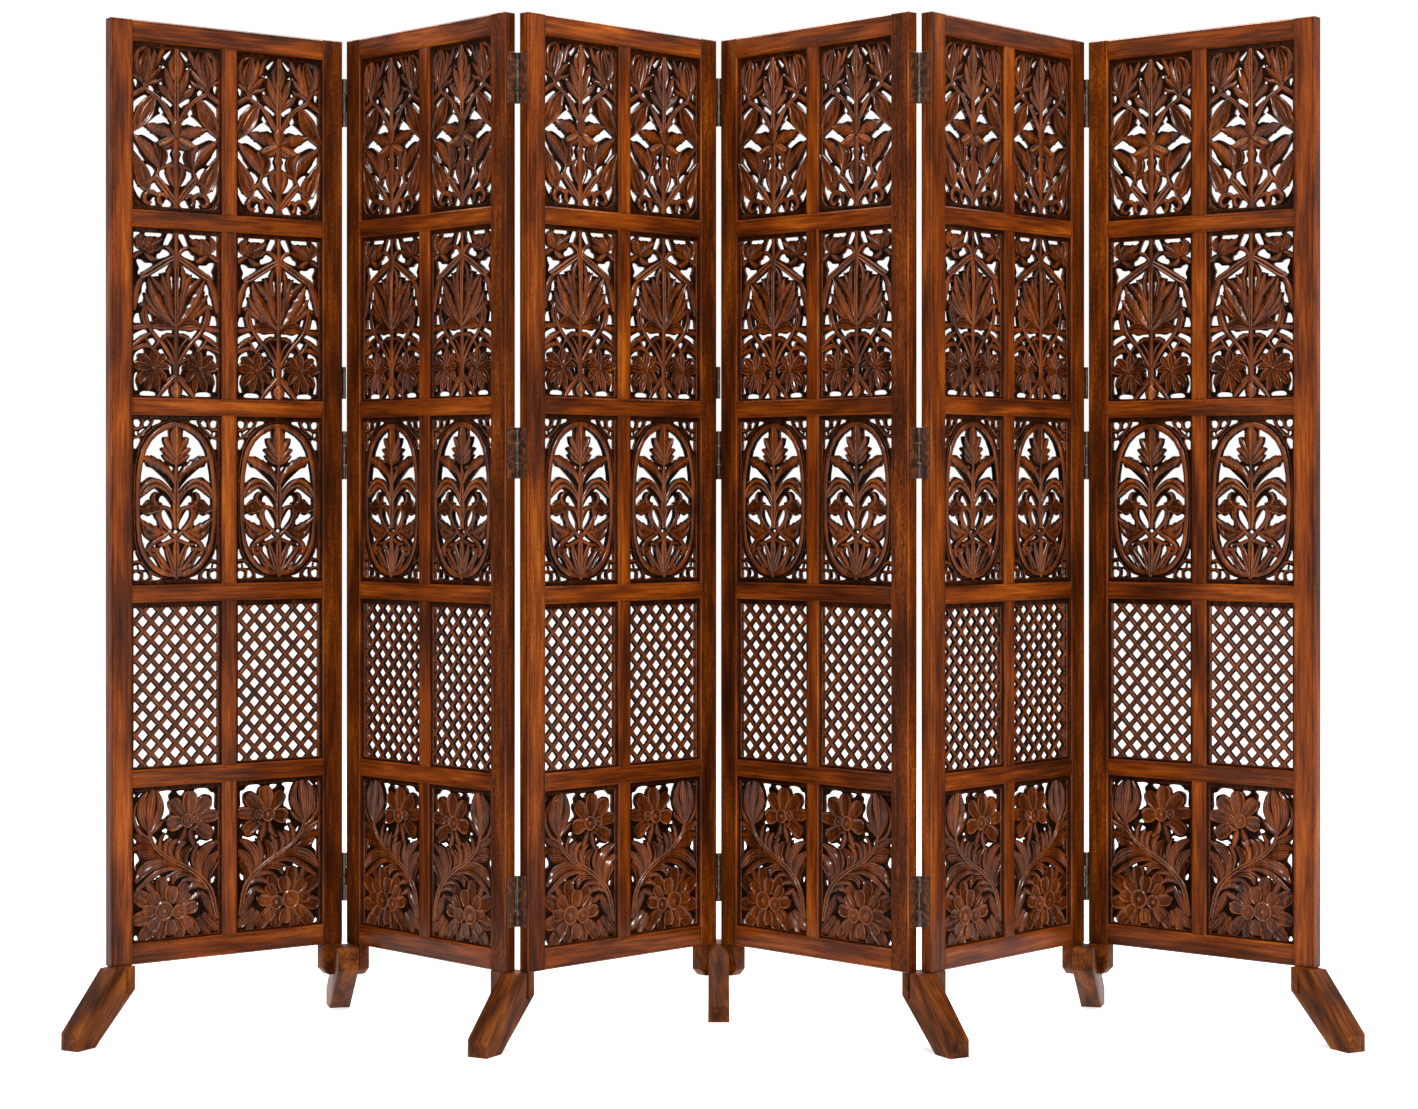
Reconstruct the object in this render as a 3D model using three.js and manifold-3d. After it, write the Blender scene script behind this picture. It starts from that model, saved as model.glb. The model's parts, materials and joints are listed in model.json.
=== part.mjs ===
// A six-panel folding screen in carved hardwood, standing in a zigzag.
// Units are millimetres. +X runs along the screen, +Y points to its back and +Z up.
// The floor is at Z = 0, under the middle of the screen.
import * as THREE from 'three';
import { mergeVertices } from 'three/addons/utils/BufferGeometryUtils.js';
import Module from 'manifold-3d';

// ---- panel sizes ------------------------------------------------------------
const panel_thickness = 25;
const stile_width = 45;
const muntin_width = 32;
const cell_width = 193; // one carved board's opening, stile to muntin
const end_rail_height = 41;
const mid_rail_height = 34;
const plant_row_height = 326; // the five rows of openings, top to bottom
const gable_row_height = 330;
const oval_row_height = 330;
const lattice_row_height = 324;
const blossom_row_height = 301;
const board_thickness = 12;
const tenon_thickness = 8;
const tenon_length = 14;
const tenon_shoulder = 5; // rail left above and below each tenon
const joint_clearance = 0.3; // between two pieces that are glued or rest on each other
const cutter_overrun = 1; // how far a cutting tool passes the face it opens
const overlap = 1; // how far two solids of one piece run into each other
const weld_distance = 1e-4; // corners of a drawn solid closer than this are one corner

// ---- hinge sizes ------------------------------------------------------------
const hinge_height = 98;
const leaf_thickness = 1.5;
const leaf_width = 21;
const barrel_radius = 3.5;
const pin_radius = 1.5;
const pin_clearance = 0.3;
const outer_knuckle = 30; // height of the top and the bottom knuckle
const leaf_gap = 0.6; // between two closed leaves
const axis_proud = 3.2; // from a panel's face out to the pin's axis
const barrel_sides = 6;
const top_hinge_from_top = 125;
const middle_hinge_from_top = 840;
const bottom_hinge_from_base = 134;
const keeper_height = 65;
const keeper_from_top = 693;

// ---- foot sizes -------------------------------------------------------------
const foot_height = 140;
const leg_thickness = 42;
const leg_length = 165;
const leg_top_flat = 55;
const heel_drop = 46; // upright part of the heel
const toe_height = 33;
const sole_length = 50;
const seat_block_height = 62;
const seat_block_chamfer = 14;
const slot_width = 9;
const slot_height = 50;
const slot_depth = 6;
const slot_from_heel = 19;
const dowel_radius = 5;
const dowel_height = 30;
const dowel_sides = 8;
const front_leg_ahead = 12; // how far the front legs stand ahead of their stiles' middle
const heel_behind_center = 65; // from the stiles' middle back to the middle foot's heel
const heel_behind_side_valley = 62;

// ---- how it stands ----------------------------------------------------------
const lean_degrees = [37, 46.5, 45, 45.5, 48, 39.5]; // each panel from the X axis
const leg_lean = 29; // how far the front legs point outward from straight ahead
const side_valley_lean = 16; // the same for the two legs that point back

// ---- sizes that follow ------------------------------------------------------
const row_heights = [
  plant_row_height, gable_row_height, oval_row_height, lattice_row_height, blossom_row_height,
];
const panel_width = 2 * (stile_width + cell_width) + muntin_width;
const rails_total = 2 * end_rail_height + (row_heights.length - 1) * mid_rail_height;
const panel_height = rails_total + row_heights.reduce((sum, h) => sum + h, 0);
const panel_base = foot_height + joint_clearance;
const grille_width = panel_width - 2 * stile_width - 2 * joint_clearance;
const board_setback = (panel_thickness - board_thickness) / 2;
const axis_from_edge = joint_clearance + leaf_thickness + leaf_gap / 2;
const radians = THREE.MathUtils.degToRad;

// ---- finishes ---------------------------------------------------------------
const wood = new THREE.MeshStandardMaterial({ color: 0x7a3d18, roughness: 0.35 });
const carved_wood = new THREE.MeshStandardMaterial({ color: 0x6b3413, roughness: 0.45 });
const foot_wood = new THREE.MeshStandardMaterial({ color: 0x5a3222, roughness: 0.4 });
const iron = new THREE.MeshStandardMaterial({ color: 0x3a3632, roughness: 0.5, metalness: 0.9 });

// ---- solid helpers ----------------------------------------------------------
const wasm = await Module();
wasm.setup();

function solid(geometry) {
  const bare = geometry.clone();
  bare.deleteAttribute('normal');
  bare.deleteAttribute('uv');
  const merged = mergeVertices(bare, weld_distance);
  return new wasm.Manifold(new wasm.Mesh({
    numProp: 3,
    vertProperties: Float32Array.from(merged.attributes.position.array),
    triVerts: Uint32Array.from(merged.index.array),
  }));
}

function unite(solids) {
  return solids.reduce((sum, next) => sum.add(next));
}

function geometry_of(body) {
  const mesh = body.getMesh();
  const geometry = new THREE.BufferGeometry();
  geometry.setAttribute('position', new THREE.BufferAttribute(mesh.vertProperties, 3));
  geometry.setIndex(new THREE.BufferAttribute(mesh.triVerts, 1));
  return geometry;
}

// a box between two corners
function block(low, high) {
  const size = high.map((v, k) => v - low[k]);
  const middle = high.map((v, k) => (v + low[k]) / 2);
  return new THREE.BoxGeometry(...size).translate(...middle);
}

// an outline in X and Z, given a thickness along Y from y_front
function slab(outline, y_front, thickness) {
  const shape = new THREE.Shape(outline.map(([x, z]) => new THREE.Vector2(x, z)));
  const geometry = new THREE.ExtrudeGeometry(shape, { depth: thickness, bevelEnabled: false });
  return geometry.rotateX(Math.PI / 2).translate(0, y_front + thickness, 0);
}

function upright_cylinder(radius, sides, z_low, z_high) {
  const geometry = new THREE.CylinderGeometry(radius, radius, z_high - z_low, sides);
  return geometry.rotateX(Math.PI / 2).translate(0, 0, (z_low + z_high) / 2);
}

function piece(name, body, material) {
  const mesh = new THREE.Mesh(geometry_of(body), material);
  mesh.name = name;
  return mesh;
}

// ---- where the rails and rows lie, from the panel's base up -----------------
function rail_spans() {
  const spans = [];
  let top = panel_height;
  row_heights.forEach((row, k) => {
    const height = k === 0 ? end_rail_height : mid_rail_height;
    spans.push([top - height, top]);
    top -= height + row;
  });
  spans.push([0, end_rail_height]);
  return spans;
}
const rails = rail_spans();
const rows = row_heights.map((row, k) => [rails[k][0] - row, rails[k][0]]);

// ---- piercings of the carved boards -----------------------------------------
// Each opening is a list of [across, down] shares of the board: across runs from the
// middle (0) to an edge (1) on a mirrored board, or from edge to edge on the last row,
// and down runs from the top (0) to the foot (1) of the board.
const plant_openings = [
  [[0.94, 0.41], [0.84, 0.375], [0.68, 0.335], [0.68, 0.315], [0.89, 0.355]],
  [[0.61, 0.48], [0.12, 0.465], [0.3, 0.42], [0.29, 0.385], [0.37, 0.4], [0.33, 0.42]],
  [[0.33, 0.6], [0.38, 0.57], [0.7, 0.505], [0.86, 0.525], [0.88, 0.555], [0.73, 0.55]],
  [[0.23, 0.71], [0.07, 0.685], [0.11, 0.655], [0.07, 0.625], [0.21, 0.615]],
  [[0.12, 0.84], [0.19, 0.815], [0.27, 0.745], [0.36, 0.775], [0.28, 0.815]],
  [[0.91, 0.805], [0.92, 0.86], [0.78, 0.925], [0.7, 0.885], [0.85, 0.86]],
  [[0.26, 0.9], [0.47, 0.835], [0.59, 0.87], [0.45, 0.885]],
];
const gable_openings = [
  [[0.52, 0.215], [0.85, 0.19], [0.8, 0.24], [0.76, 0.26], [0.58, 0.235]],
  [[0.55, 0.285], [0.31, 0.275], [0.23, 0.25], [0.15, 0.205], [0.23, 0.21]],
  [[0.82, 0.44], [0.7, 0.405], [0.62, 0.4], [0.66, 0.325], [0.74, 0.35]],
  [[0.05, 0.6], [0.32, 0.61], [0.52, 0.605], [0.33, 0.645]],
  [[0.92, 0.66], [0.81, 0.64], [0.61, 0.63], [0.66, 0.605], [0.91, 0.63]],
  [[0.31, 0.985], [0.15, 0.985], [0.07, 0.925], [0.19, 0.925]],
];
const oval_openings = [
  [[0.2, 0.085], [0.56, 0.145], [0.73, 0.235], [0.55, 0.235], [0.25, 0.27], [0.32, 0.21]],
  [[0.23, 0.39], [0.74, 0.29], [0.77, 0.39], [0.58, 0.36], [0.39, 0.375], [0.07, 0.465]],
  [[0.74, 0.525], [0.5, 0.465], [0.39, 0.46], [0.51, 0.435], [0.78, 0.49]],
  [[0.09, 0.635], [0.25, 0.565], [0.32, 0.58], [0.28, 0.62], [0.13, 0.665]],
  [[0.77, 0.6], [0.66, 0.635], [0.44, 0.655], [0.39, 0.625], [0.52, 0.59]],
  [[0.75, 0.735], [0.66, 0.79], [0.53, 0.75], [0.64, 0.725], [0.75, 0.69]],
  [[0.15, 0.87], [0.29, 0.785], [0.39, 0.8], [0.24, 0.865]],
];
const blossom_openings = [
  [[0.71, 0.045], [0.84, 0.04], [0.93, 0.075], [0.9, 0.09], [0.82, 0.07], [0.74, 0.09]],
  [[0.33, 0.225], [0.38, 0.145], [0.31, 0.05], [0.45, 0.04], [0.42, 0.065], [0.43, 0.185]],
  [[0.05, 0.175], [0.06, 0.095], [0.12, 0.045], [0.16, 0.04], [0.08, 0.16]],
  [[0.35, 0.29], [0.41, 0.285], [0.39, 0.355], [0.32, 0.345]],
  [[0.23, 0.33], [0.29, 0.36], [0.32, 0.405], [0.25, 0.37]],
  [[0.73, 0.395], [0.77, 0.375], [0.9, 0.39], [0.83, 0.405]],
  [[0.68, 0.56], [0.65, 0.52], [0.67, 0.47], [0.71, 0.46]],
  [[0.94, 0.62], [0.92, 0.65], [0.87, 0.655], [0.87, 0.625]],
];
const lattice_columns = 2; // diamonds across one lattice board
const lattice_strip = 20; // wood left between two diamonds

// an opening's shares turned into places on a board that spans x_low..x_high, z_low..z_high
function mirrored(openings, board) {
  const middle = (board.x_low + board.x_high) / 2;
  const half = (board.x_high - board.x_low) / 2;
  const height = board.z_high - board.z_low;
  const place = (side) => ([across, down]) => [
    middle + side * across * half,
    board.z_high - down * height,
  ];
  return openings.flatMap((points) => [points.map(place(1)), points.map(place(-1))]);
}

function one_way(openings, board, flipped) {
  const width = board.x_high - board.x_low;
  const height = board.z_high - board.z_low;
  return openings.map((points) => points.map(([across, down]) => [
    board.x_low + (flipped ? 1 - across : across) * width,
    board.z_high - down * height,
  ]));
}

function diamonds(board) {
  const pitch = (board.x_high - board.x_low) / lattice_columns;
  const count = Math.floor((board.z_high - board.z_low) / pitch);
  const pitch_z = (board.z_high - board.z_low) / count;
  const half_x = pitch / 2 - lattice_strip / Math.SQRT2;
  const half_z = pitch_z / 2 - lattice_strip / Math.SQRT2;
  const openings = [];
  for (let row = 1; row < 2 * count; row += 1) {
    const shift = row % 2;
    for (let column = 0; column < lattice_columns - 1 + shift; column += 1) {
      const x = board.x_low + (column + 1 - shift / 2) * pitch;
      const z = board.z_low + row * pitch_z / 2;
      openings.push([[x - half_x, z], [x, z - half_z], [x + half_x, z], [x, z + half_z]]);
    }
  }
  return openings;
}

function openings_of(row, board, right_column) {
  if (row === 0) return mirrored(plant_openings, board);
  if (row === 1) return mirrored(gable_openings, board);
  if (row === 2) return mirrored(oval_openings, board);
  if (row === 3) return diamonds(board);
  return one_way(blossom_openings, board, right_column);
}

// ---- the pieces of one panel ------------------------------------------------
const tenon_front = (panel_thickness - tenon_thickness) / 2;

// rails, muntin and the ten carved boards, glued up as one frame between the stiles
function grille_solid() {
  const left = stile_width + joint_clearance;
  const right = left + grille_width;
  const muntin_left = (panel_width - muntin_width) / 2;
  const muntin_right = muntin_left + muntin_width;
  const solids = [solid(block([muntin_left, 0, 0], [muntin_right, panel_thickness, panel_height]))];
  for (const [low, high] of rails) {
    solids.push(solid(block([left, 0, low], [right, panel_thickness, high])));
    const reach = tenon_length - 2 * joint_clearance; // past each end of the rail
    solids.push(solid(block(
      [left - reach, tenon_front, low + tenon_shoulder],
      [right + reach, tenon_front + tenon_thickness, high - tenon_shoulder],
    )));
  }
  const body = unite(solids);
  const boards = rows.flatMap(([low, high], row) => [0, 1].map((column) => {
    const board = {
      x_low: column ? muntin_right : left,
      x_high: column ? right : muntin_left,
      z_low: low,
      z_high: high,
    };
    const front = board_setback;
    const back = front + board_thickness;
    const plain = solid(block([board.x_low, front, low], [board.x_high, back, high]));
    const cutters = openings_of(row, board, column === 1)
      .map((outline) => slab(outline, front - cutter_overrun, board_thickness + 2 * cutter_overrun))
      .map(solid);
    return plain.subtract(unite(cutters));
  }));
  return unite([body, ...boards]);
}

// one upright, with a mortise for each rail's tenon and, above a foot, a dowel hole
function stile_solid(right_side, on_foot) {
  const low = right_side ? panel_width - stile_width : 0;
  const inner = right_side ? low : low + stile_width;
  const way = right_side ? 1 : -1;
  let body = solid(block([low, 0, 0], [low + stile_width, panel_thickness, panel_height]));
  for (const [rail_low, rail_high] of rails) {
    const deep = inner + way * tenon_length;
    const mouth = inner - way * cutter_overrun;
    body = body.subtract(solid(block(
      [
        Math.min(mouth, deep),
        tenon_front - joint_clearance,
        rail_low + tenon_shoulder - joint_clearance,
      ],
      [
        Math.max(mouth, deep),
        tenon_front + tenon_thickness + joint_clearance,
        rail_high - tenon_shoulder + joint_clearance,
      ],
    )));
  }
  if (on_foot) {
    const hole_radius = dowel_radius + joint_clearance;
    const hole_top = dowel_height + joint_clearance;
    const hole = upright_cylinder(hole_radius, dowel_sides, -cutter_overrun, hole_top);
    body = body.subtract(solid(hole.translate(low + stile_width / 2, panel_thickness / 2, 0)));
  }
  return body;
}

// ---- the hinges -------------------------------------------------------------
// A leaf is drawn round its pin's axis. toward_x is the side its own stile lies on and
// toward_y the side its plate reaches to, away from the knuckle.
function leaf_plate(toward_x, toward_y, tabs, height) {
  const near = leaf_gap / 2;
  const far = near + leaf_thickness;
  const span = (a, b) => [Math.min(a, b), Math.max(a, b)];
  const [x_low, x_high] = span(toward_x * near, toward_x * far);
  const start = barrel_radius + pin_clearance + joint_clearance / 2;
  const [y_low, y_high] = span(toward_y * start, toward_y * (axis_proud + leaf_width));
  const [tab_low, tab_high] = span(0, toward_y * (start + overlap));
  const plates = [solid(block([x_low, y_low, -height / 2], [x_high, y_high, height / 2]))];
  for (const [low, high] of tabs) {
    plates.push(solid(block([x_low, tab_low, low], [x_high, tab_high, high])));
  }
  return unite(plates);
}

function pin_leaf_solid(toward_x, toward_y) {
  const end = hinge_height / 2;
  const tabs = [[-end, -end + outer_knuckle], [end - outer_knuckle, end]];
  const knuckles = tabs
    .map(([low, high]) => upright_cylinder(barrel_radius, barrel_sides, low, high))
    .map(solid);
  const pin_end = end - overlap;
  const pin = solid(upright_cylinder(pin_radius, barrel_sides, -pin_end, pin_end));
  return unite([leaf_plate(toward_x, toward_y, tabs, hinge_height), ...knuckles, pin]);
}

function free_leaf_solid(toward_x, toward_y) {
  const end = hinge_height / 2 - outer_knuckle - pin_clearance;
  const knuckle = solid(upright_cylinder(barrel_radius, barrel_sides, -end, end));
  const bore_end = end + cutter_overrun;
  const bore = solid(upright_cylinder(pin_radius + pin_clearance, barrel_sides, -bore_end, bore_end));
  return leaf_plate(toward_x, toward_y, [[-end, end]], hinge_height).add(knuckle).subtract(bore);
}

function keeper_solid(toward_x, toward_y) {
  const end = keeper_height / 2;
  const barrel = solid(upright_cylinder(barrel_radius, barrel_sides, -end, end));
  return leaf_plate(toward_x, toward_y, [[-end, end]], keeper_height).add(barrel);
}

const hinge_places = [
  ['top', panel_height - top_hinge_from_top],
  ['middle', panel_height - middle_hinge_from_top],
  ['bottom', bottom_hinge_from_base],
];

// ---- the feet ---------------------------------------------------------------
// A leg is drawn along -Y, its heel at y = 0, and then turned to its heading.
function leg_solid(slot_side) {
  const profile = [
    [0, foot_height],
    [0, foot_height - heel_drop],
    [leg_length - sole_length, 0],
    [leg_length, 0],
    [leg_length, toe_height],
    [leg_top_flat, foot_height],
  ];
  const board = slab(profile, -leg_thickness / 2, leg_thickness).rotateZ(-Math.PI / 2);
  let body = solid(board);
  if (slot_side) {
    const face = slot_side * leg_thickness / 2;
    const inside = face - slot_side * slot_depth;
    const outside = face + slot_side * cutter_overrun;
    const slot = block(
      [Math.min(inside, outside), -slot_from_heel - slot_width, foot_height - slot_height],
      [Math.max(inside, outside), -slot_from_heel, foot_height + cutter_overrun],
    );
    body = body.subtract(solid(slot));
  }
  return body;
}

// the short block under one stile, drawn in that panel's own plan from x_end to x_fold
function seat_block(x_end, x_fold) {
  const way = Math.sign(x_fold - x_end);
  const low = foot_height - seat_block_height;
  const outline = [
    [x_end, foot_height],
    [x_end, low + seat_block_chamfer],
    [x_end + way * seat_block_chamfer, low],
    [x_fold, low],
    [x_fold, foot_height],
  ];
  if (way > 0) outline.reverse();
  return solid(slab(outline, 0, panel_thickness));
}

// ---- standing the panels in their zigzag ------------------------------------
const panels = [];
let corner = new THREE.Vector2(0, 0); // front left corner of the next panel
const fold_axes = [];
lean_degrees.forEach((degrees, k) => {
  const angle = radians(k % 2 ? -degrees : degrees);
  const along = new THREE.Vector2(Math.cos(angle), Math.sin(angle));
  const back = new THREE.Vector2(-Math.sin(angle), Math.cos(angle));
  const axis_back = (index) => (index % 2 ? panel_thickness + axis_proud : -axis_proud);
  if (k > 0) {
    corner = fold_axes[k - 1].clone()
      .addScaledVector(along, axis_from_edge)
      .addScaledVector(back, -axis_back(k - 1));
  }
  panels.push({ corner, angle });
  fold_axes.push(corner.clone()
    .addScaledVector(along, panel_width + axis_from_edge)
    .addScaledVector(back, axis_back(k)));
});

function panel_group(k) {
  const group = new THREE.Group();
  group.position.set(panels[k].corner.x, panels[k].corner.y, 0);
  group.rotation.z = panels[k].angle;
  return group;
}

// a point of panel k's own plan, seen in the whole screen's plan
function in_plan(k, x, y) {
  const turned = new THREE.Vector2(x, y).rotateAround(new THREE.Vector2(), panels[k].angle);
  return turned.add(panels[k].corner);
}

// ---- where the seven feet stand ---------------------------------------------
// A stile is named by its panel and its side. Each foot is dowelled into its carrier, the
// other stile of its fold rests on it, and seats are the stiles that stand on a seat block.
// heading is measured from straight ahead towards +X, and ahead is how far the leg stands
// in front of the stiles' middle.
const left = (k) => ({ k, right: false });
const right = (k) => ({ k, right: true });
const front_leg = { heel_behind: leg_top_flat / 2, ahead: front_leg_ahead };
const back_leg = { heel_behind: heel_behind_side_valley, ahead: 0 };
const feet = [
  {
    name: 'left_end_foot', carrier: left(0), stiles: [left(0)], seats: [],
    ...front_leg, heading: -leg_lean, slot_side: 1,
  },
  {
    name: 'fold_1_2_foot', carrier: left(1), stiles: [right(0), left(1)], seats: [right(0), left(1)],
    ...back_leg, heading: 180 + side_valley_lean, slot_side: 0,
  },
  {
    name: 'fold_2_3_foot', carrier: left(2), stiles: [right(1), left(2)], seats: [right(1)],
    ...front_leg, heading: -leg_lean, slot_side: 1,
  },
  {
    name: 'fold_3_4_foot', carrier: right(2), stiles: [right(2), left(3)], seats: [right(2), left(3)],
    heel_behind: heel_behind_center, ahead: 0, heading: 0, slot_side: 0,
  },
  {
    name: 'fold_4_5_foot', carrier: right(3), stiles: [right(3), left(4)], seats: [left(4)],
    ...front_leg, heading: leg_lean, slot_side: -1,
  },
  {
    name: 'fold_5_6_foot', carrier: right(4), stiles: [right(4), left(5)], seats: [right(4), left(5)],
    ...back_leg, heading: 180 - side_valley_lean, slot_side: 0,
  },
  {
    name: 'right_end_foot', carrier: right(5), stiles: [right(5)], seats: [],
    ...front_leg, heading: leg_lean, slot_side: -1,
  },
];
const has_dowel = (stile) => feet.some(({ carrier }) => (
  carrier.k === stile.k && carrier.right === stile.right
));

const screen = new THREE.Group();

panels.forEach((_, k) => {
  const group = panel_group(k);
  group.position.z = panel_base;
  const name = `panel_${k + 1}`;
  group.add(piece(`${name}_left_stile`, stile_solid(false, has_dowel(left(k))), wood));
  group.add(piece(`${name}_right_stile`, stile_solid(true, has_dowel(right(k))), wood));
  group.add(piece(`${name}_carved_grille`, grille_solid(), carved_wood));
  screen.add(group);
});

// each fold has three hinges: the leaf with the pin on its left panel, the free leaf on its right
for (let fold = 0; fold < panels.length - 1; fold += 1) {
  const toward_y = fold % 2 ? -1 : 1; // the knuckles are on the back of the peak folds
  const name = `fold_${fold + 1}_${fold + 2}`;
  const add_leaf = (leaf, body, k, height) => {
    const mesh = piece(leaf, body, iron);
    mesh.position.set(fold_axes[fold].x, fold_axes[fold].y, panel_base + height);
    mesh.rotation.z = panels[k].angle;
    screen.add(mesh);
  };
  for (const [place, height] of hinge_places) {
    add_leaf(`${name}_${place}_hinge_pin_leaf`, pin_leaf_solid(-1, toward_y), fold, height);
    add_leaf(`${name}_${place}_hinge_free_leaf`, free_leaf_solid(1, toward_y), fold + 1, height);
  }
  if (fold % 2 === 0) {
    add_leaf(`${name}_keeper`, keeper_solid(-1, toward_y), fold, panel_height - keeper_from_top);
  }
}

function stile_middle(stile) {
  const x = stile.right ? panel_width - stile_width / 2 : stile_width / 2;
  return in_plan(stile.k, x, panel_thickness / 2);
}

// one seat block under a stile, standing in the screen's plan
function placed_seat(stile) {
  const x_end = stile.right ? panel_width - stile_width : stile_width;
  const x_fold = stile.right ? panel_width : 0;
  const { corner: at, angle } = panels[stile.k];
  const degrees = THREE.MathUtils.radToDeg(angle);
  return seat_block(x_end, x_fold).rotate([0, 0, degrees]).translate([at.x, at.y, 0]);
}

for (const { name, carrier, stiles, seats, heading, heel_behind, ahead, slot_side } of feet) {
  const middle = new THREE.Vector2();
  for (const stile of stiles) middle.addScaledVector(stile_middle(stile), 1 / stiles.length);
  const turn = radians(heading);
  const backward = new THREE.Vector2(-Math.sin(turn), Math.cos(turn));
  const heel = middle.addScaledVector(backward, heel_behind).add(new THREE.Vector2(0, -ahead));
  const leg = leg_solid(slot_side).rotate([0, 0, heading]).translate([heel.x, heel.y, 0]);
  const dowel_low = foot_height - overlap;
  const dowel_top = foot_height + dowel_height;
  const dowel = solid(upright_cylinder(dowel_radius, dowel_sides, dowel_low, dowel_top));
  const { x, y } = stile_middle(carrier);
  const body = unite([leg, ...seats.map(placed_seat), dowel.translate([x, y, 0])]);
  screen.add(piece(name, body, foot_wood));
}

// the middle of the screen's plan is put over the origin
const bounds = new THREE.Box3().setFromObject(screen);
screen.position.set(-(bounds.min.x + bounds.max.x) / 2, -(bounds.min.y + bounds.max.y) / 2, 0);

const group = new THREE.Group();
group.add(screen);

export default group;
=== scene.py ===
# %% [markdown]
# # A carved folding screen
# Six tall panels stand in a zigzag, and each is a hardwood frame round ten pierced
# boards. The solid model gives the frame its true size, its hinges and its feet. This
# notebook builds the looks round it: planed and worn bars, carved relief, a lattice,
# forged hinges, and polish whose colour is painted dark in every hollow, as the shade
# that falls there and the old polish gathered there.

# %% Load the solid model
import json
import math
import random
from functools import partial

import bmesh
import bpy
import numpy as np
from mathutils import Matrix, Vector, geometry

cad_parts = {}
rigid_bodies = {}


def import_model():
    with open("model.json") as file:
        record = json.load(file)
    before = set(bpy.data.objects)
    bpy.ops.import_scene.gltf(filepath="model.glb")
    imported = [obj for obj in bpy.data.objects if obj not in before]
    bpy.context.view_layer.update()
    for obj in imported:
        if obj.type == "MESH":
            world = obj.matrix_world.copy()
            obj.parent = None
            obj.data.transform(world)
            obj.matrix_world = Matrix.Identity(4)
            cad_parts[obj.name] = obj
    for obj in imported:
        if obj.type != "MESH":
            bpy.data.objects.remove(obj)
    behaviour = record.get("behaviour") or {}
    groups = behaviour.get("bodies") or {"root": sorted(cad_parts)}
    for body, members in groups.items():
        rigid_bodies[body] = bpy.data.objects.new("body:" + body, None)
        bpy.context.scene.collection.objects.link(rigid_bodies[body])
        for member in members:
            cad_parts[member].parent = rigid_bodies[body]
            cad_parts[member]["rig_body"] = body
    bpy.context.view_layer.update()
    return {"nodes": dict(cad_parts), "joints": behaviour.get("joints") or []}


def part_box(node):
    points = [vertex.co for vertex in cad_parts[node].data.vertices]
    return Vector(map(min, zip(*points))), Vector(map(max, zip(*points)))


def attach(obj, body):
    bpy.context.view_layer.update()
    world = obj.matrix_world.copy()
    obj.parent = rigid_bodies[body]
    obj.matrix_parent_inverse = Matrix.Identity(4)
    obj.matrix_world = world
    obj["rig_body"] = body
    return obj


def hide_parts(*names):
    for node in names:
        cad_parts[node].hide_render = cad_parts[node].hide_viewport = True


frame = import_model()

# %% [markdown]
# Every panel is drawn once in its own plan, in millimetres: x from its left edge to its
# right, y from its front face to its back, and z up from its base. The two uprights of
# the solid model say where each panel stands, so nothing about the zigzag is typed here.

# %% Where each panel stands
MM = 0.001
PANEL_WIDTH, PANEL_THICK, UPRIGHT_WIDTH = 508, 25, 45
MUNTIN_WIDTH, OPENING_WIDTH = 32, 193
END_RAIL, MIDDLE_RAIL = 41, 34
ROW_HEIGHTS = [326, 330, 330, 324, 301]
LATTICE_ROW = 3  # counted from 0
PANELS = range(1, 7)


def top_middle(node):
    """The middle of a node's top face, in metres."""
    points = np.array([corner.co for corner in frame["nodes"][node].data.vertices])
    top = points[points[:, 2] > points[:, 2].max() - 1e-5]
    return (top.min(0) + top.max(0)) / 2


def panel_place(k):
    left, right = top_middle(f"panel_{k}_left_stile"), top_middle(f"panel_{k}_right_stile")
    along = Vector(right - left).normalized()
    back = Vector((-along.y, along.x, 0))
    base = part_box(f"panel_{k}_left_stile")[0].z
    corner = Vector((left[0], left[1], base))
    corner -= (along * UPRIGHT_WIDTH / 2 + back * PANEL_THICK / 2) * MM
    turn = Matrix((along, back, (0, 0, 1))).transposed().to_4x4()
    return Matrix.Translation(corner) @ turn @ Matrix.Scale(MM, 4)


places = {k: panel_place(k) for k in PANELS}
panel_height = (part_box("panel_1_left_stile")[1].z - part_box("panel_1_left_stile")[0].z) / MM
row_tops, down = [], panel_height
for k, height in enumerate(ROW_HEIGHTS):
    down -= END_RAIL if k == 0 else MIDDLE_RAIL
    row_tops.append(down)
    down -= height
print("panel height:", round(panel_height, 1), " left over for the last rail:", round(down, 1))

# %% [markdown]
# A finish is a small network of nodes. One function adds every node, whatever its kind:
# it sets what is constant, plugs in what is not, and hands back the output that the next
# node needs. Another writes a colour the way a painter reads it.

# %% Helpers for every finish
MATH, NOISE, BUMP = "ShaderNodeMath", "ShaderNodeTexNoise", "ShaderNodeBump"
RANGE, MIX, RAMP = "ShaderNodeMapRange", "ShaderNodeMix", "ShaderNodeValToRGB"
ATTRIBUTE = "ShaderNodeAttribute"


def linear(hex_colour):
    """#rrggbb as the light values Blender works with."""
    values = [int(hex_colour[k:k + 2], 16) / 255 for k in (1, 3, 5)]
    return [v / 12.92 if v <= 0.04045 else ((v + 0.055) / 1.055) ** 2.4 for v in values] + [1]


def add_node(tree, kind, *inputs, output=0, stops=(), **settings):
    """inputs: values or other outputs, in the sockets' order or in a dictionary by name."""
    node = tree.nodes.new(kind)
    for name, value in settings.items():
        setattr(node, name, value)
    named = inputs[0] if inputs and isinstance(inputs[0], dict) else dict(enumerate(inputs))
    for name, value in named.items():
        if isinstance(value, bpy.types.NodeSocket):
            tree.links.new(value, node.inputs[name])
        else:
            node.inputs[name].default_value = value
    if stops:
        band = node.color_ramp.elements
        while len(band) < len(stops):
            band.new(0.5)
        for element, (place, colour) in zip(band, stops):
            element.position, element.color = place, linear(colour)
    return node.outputs if output is None else node.outputs[output]


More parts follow.
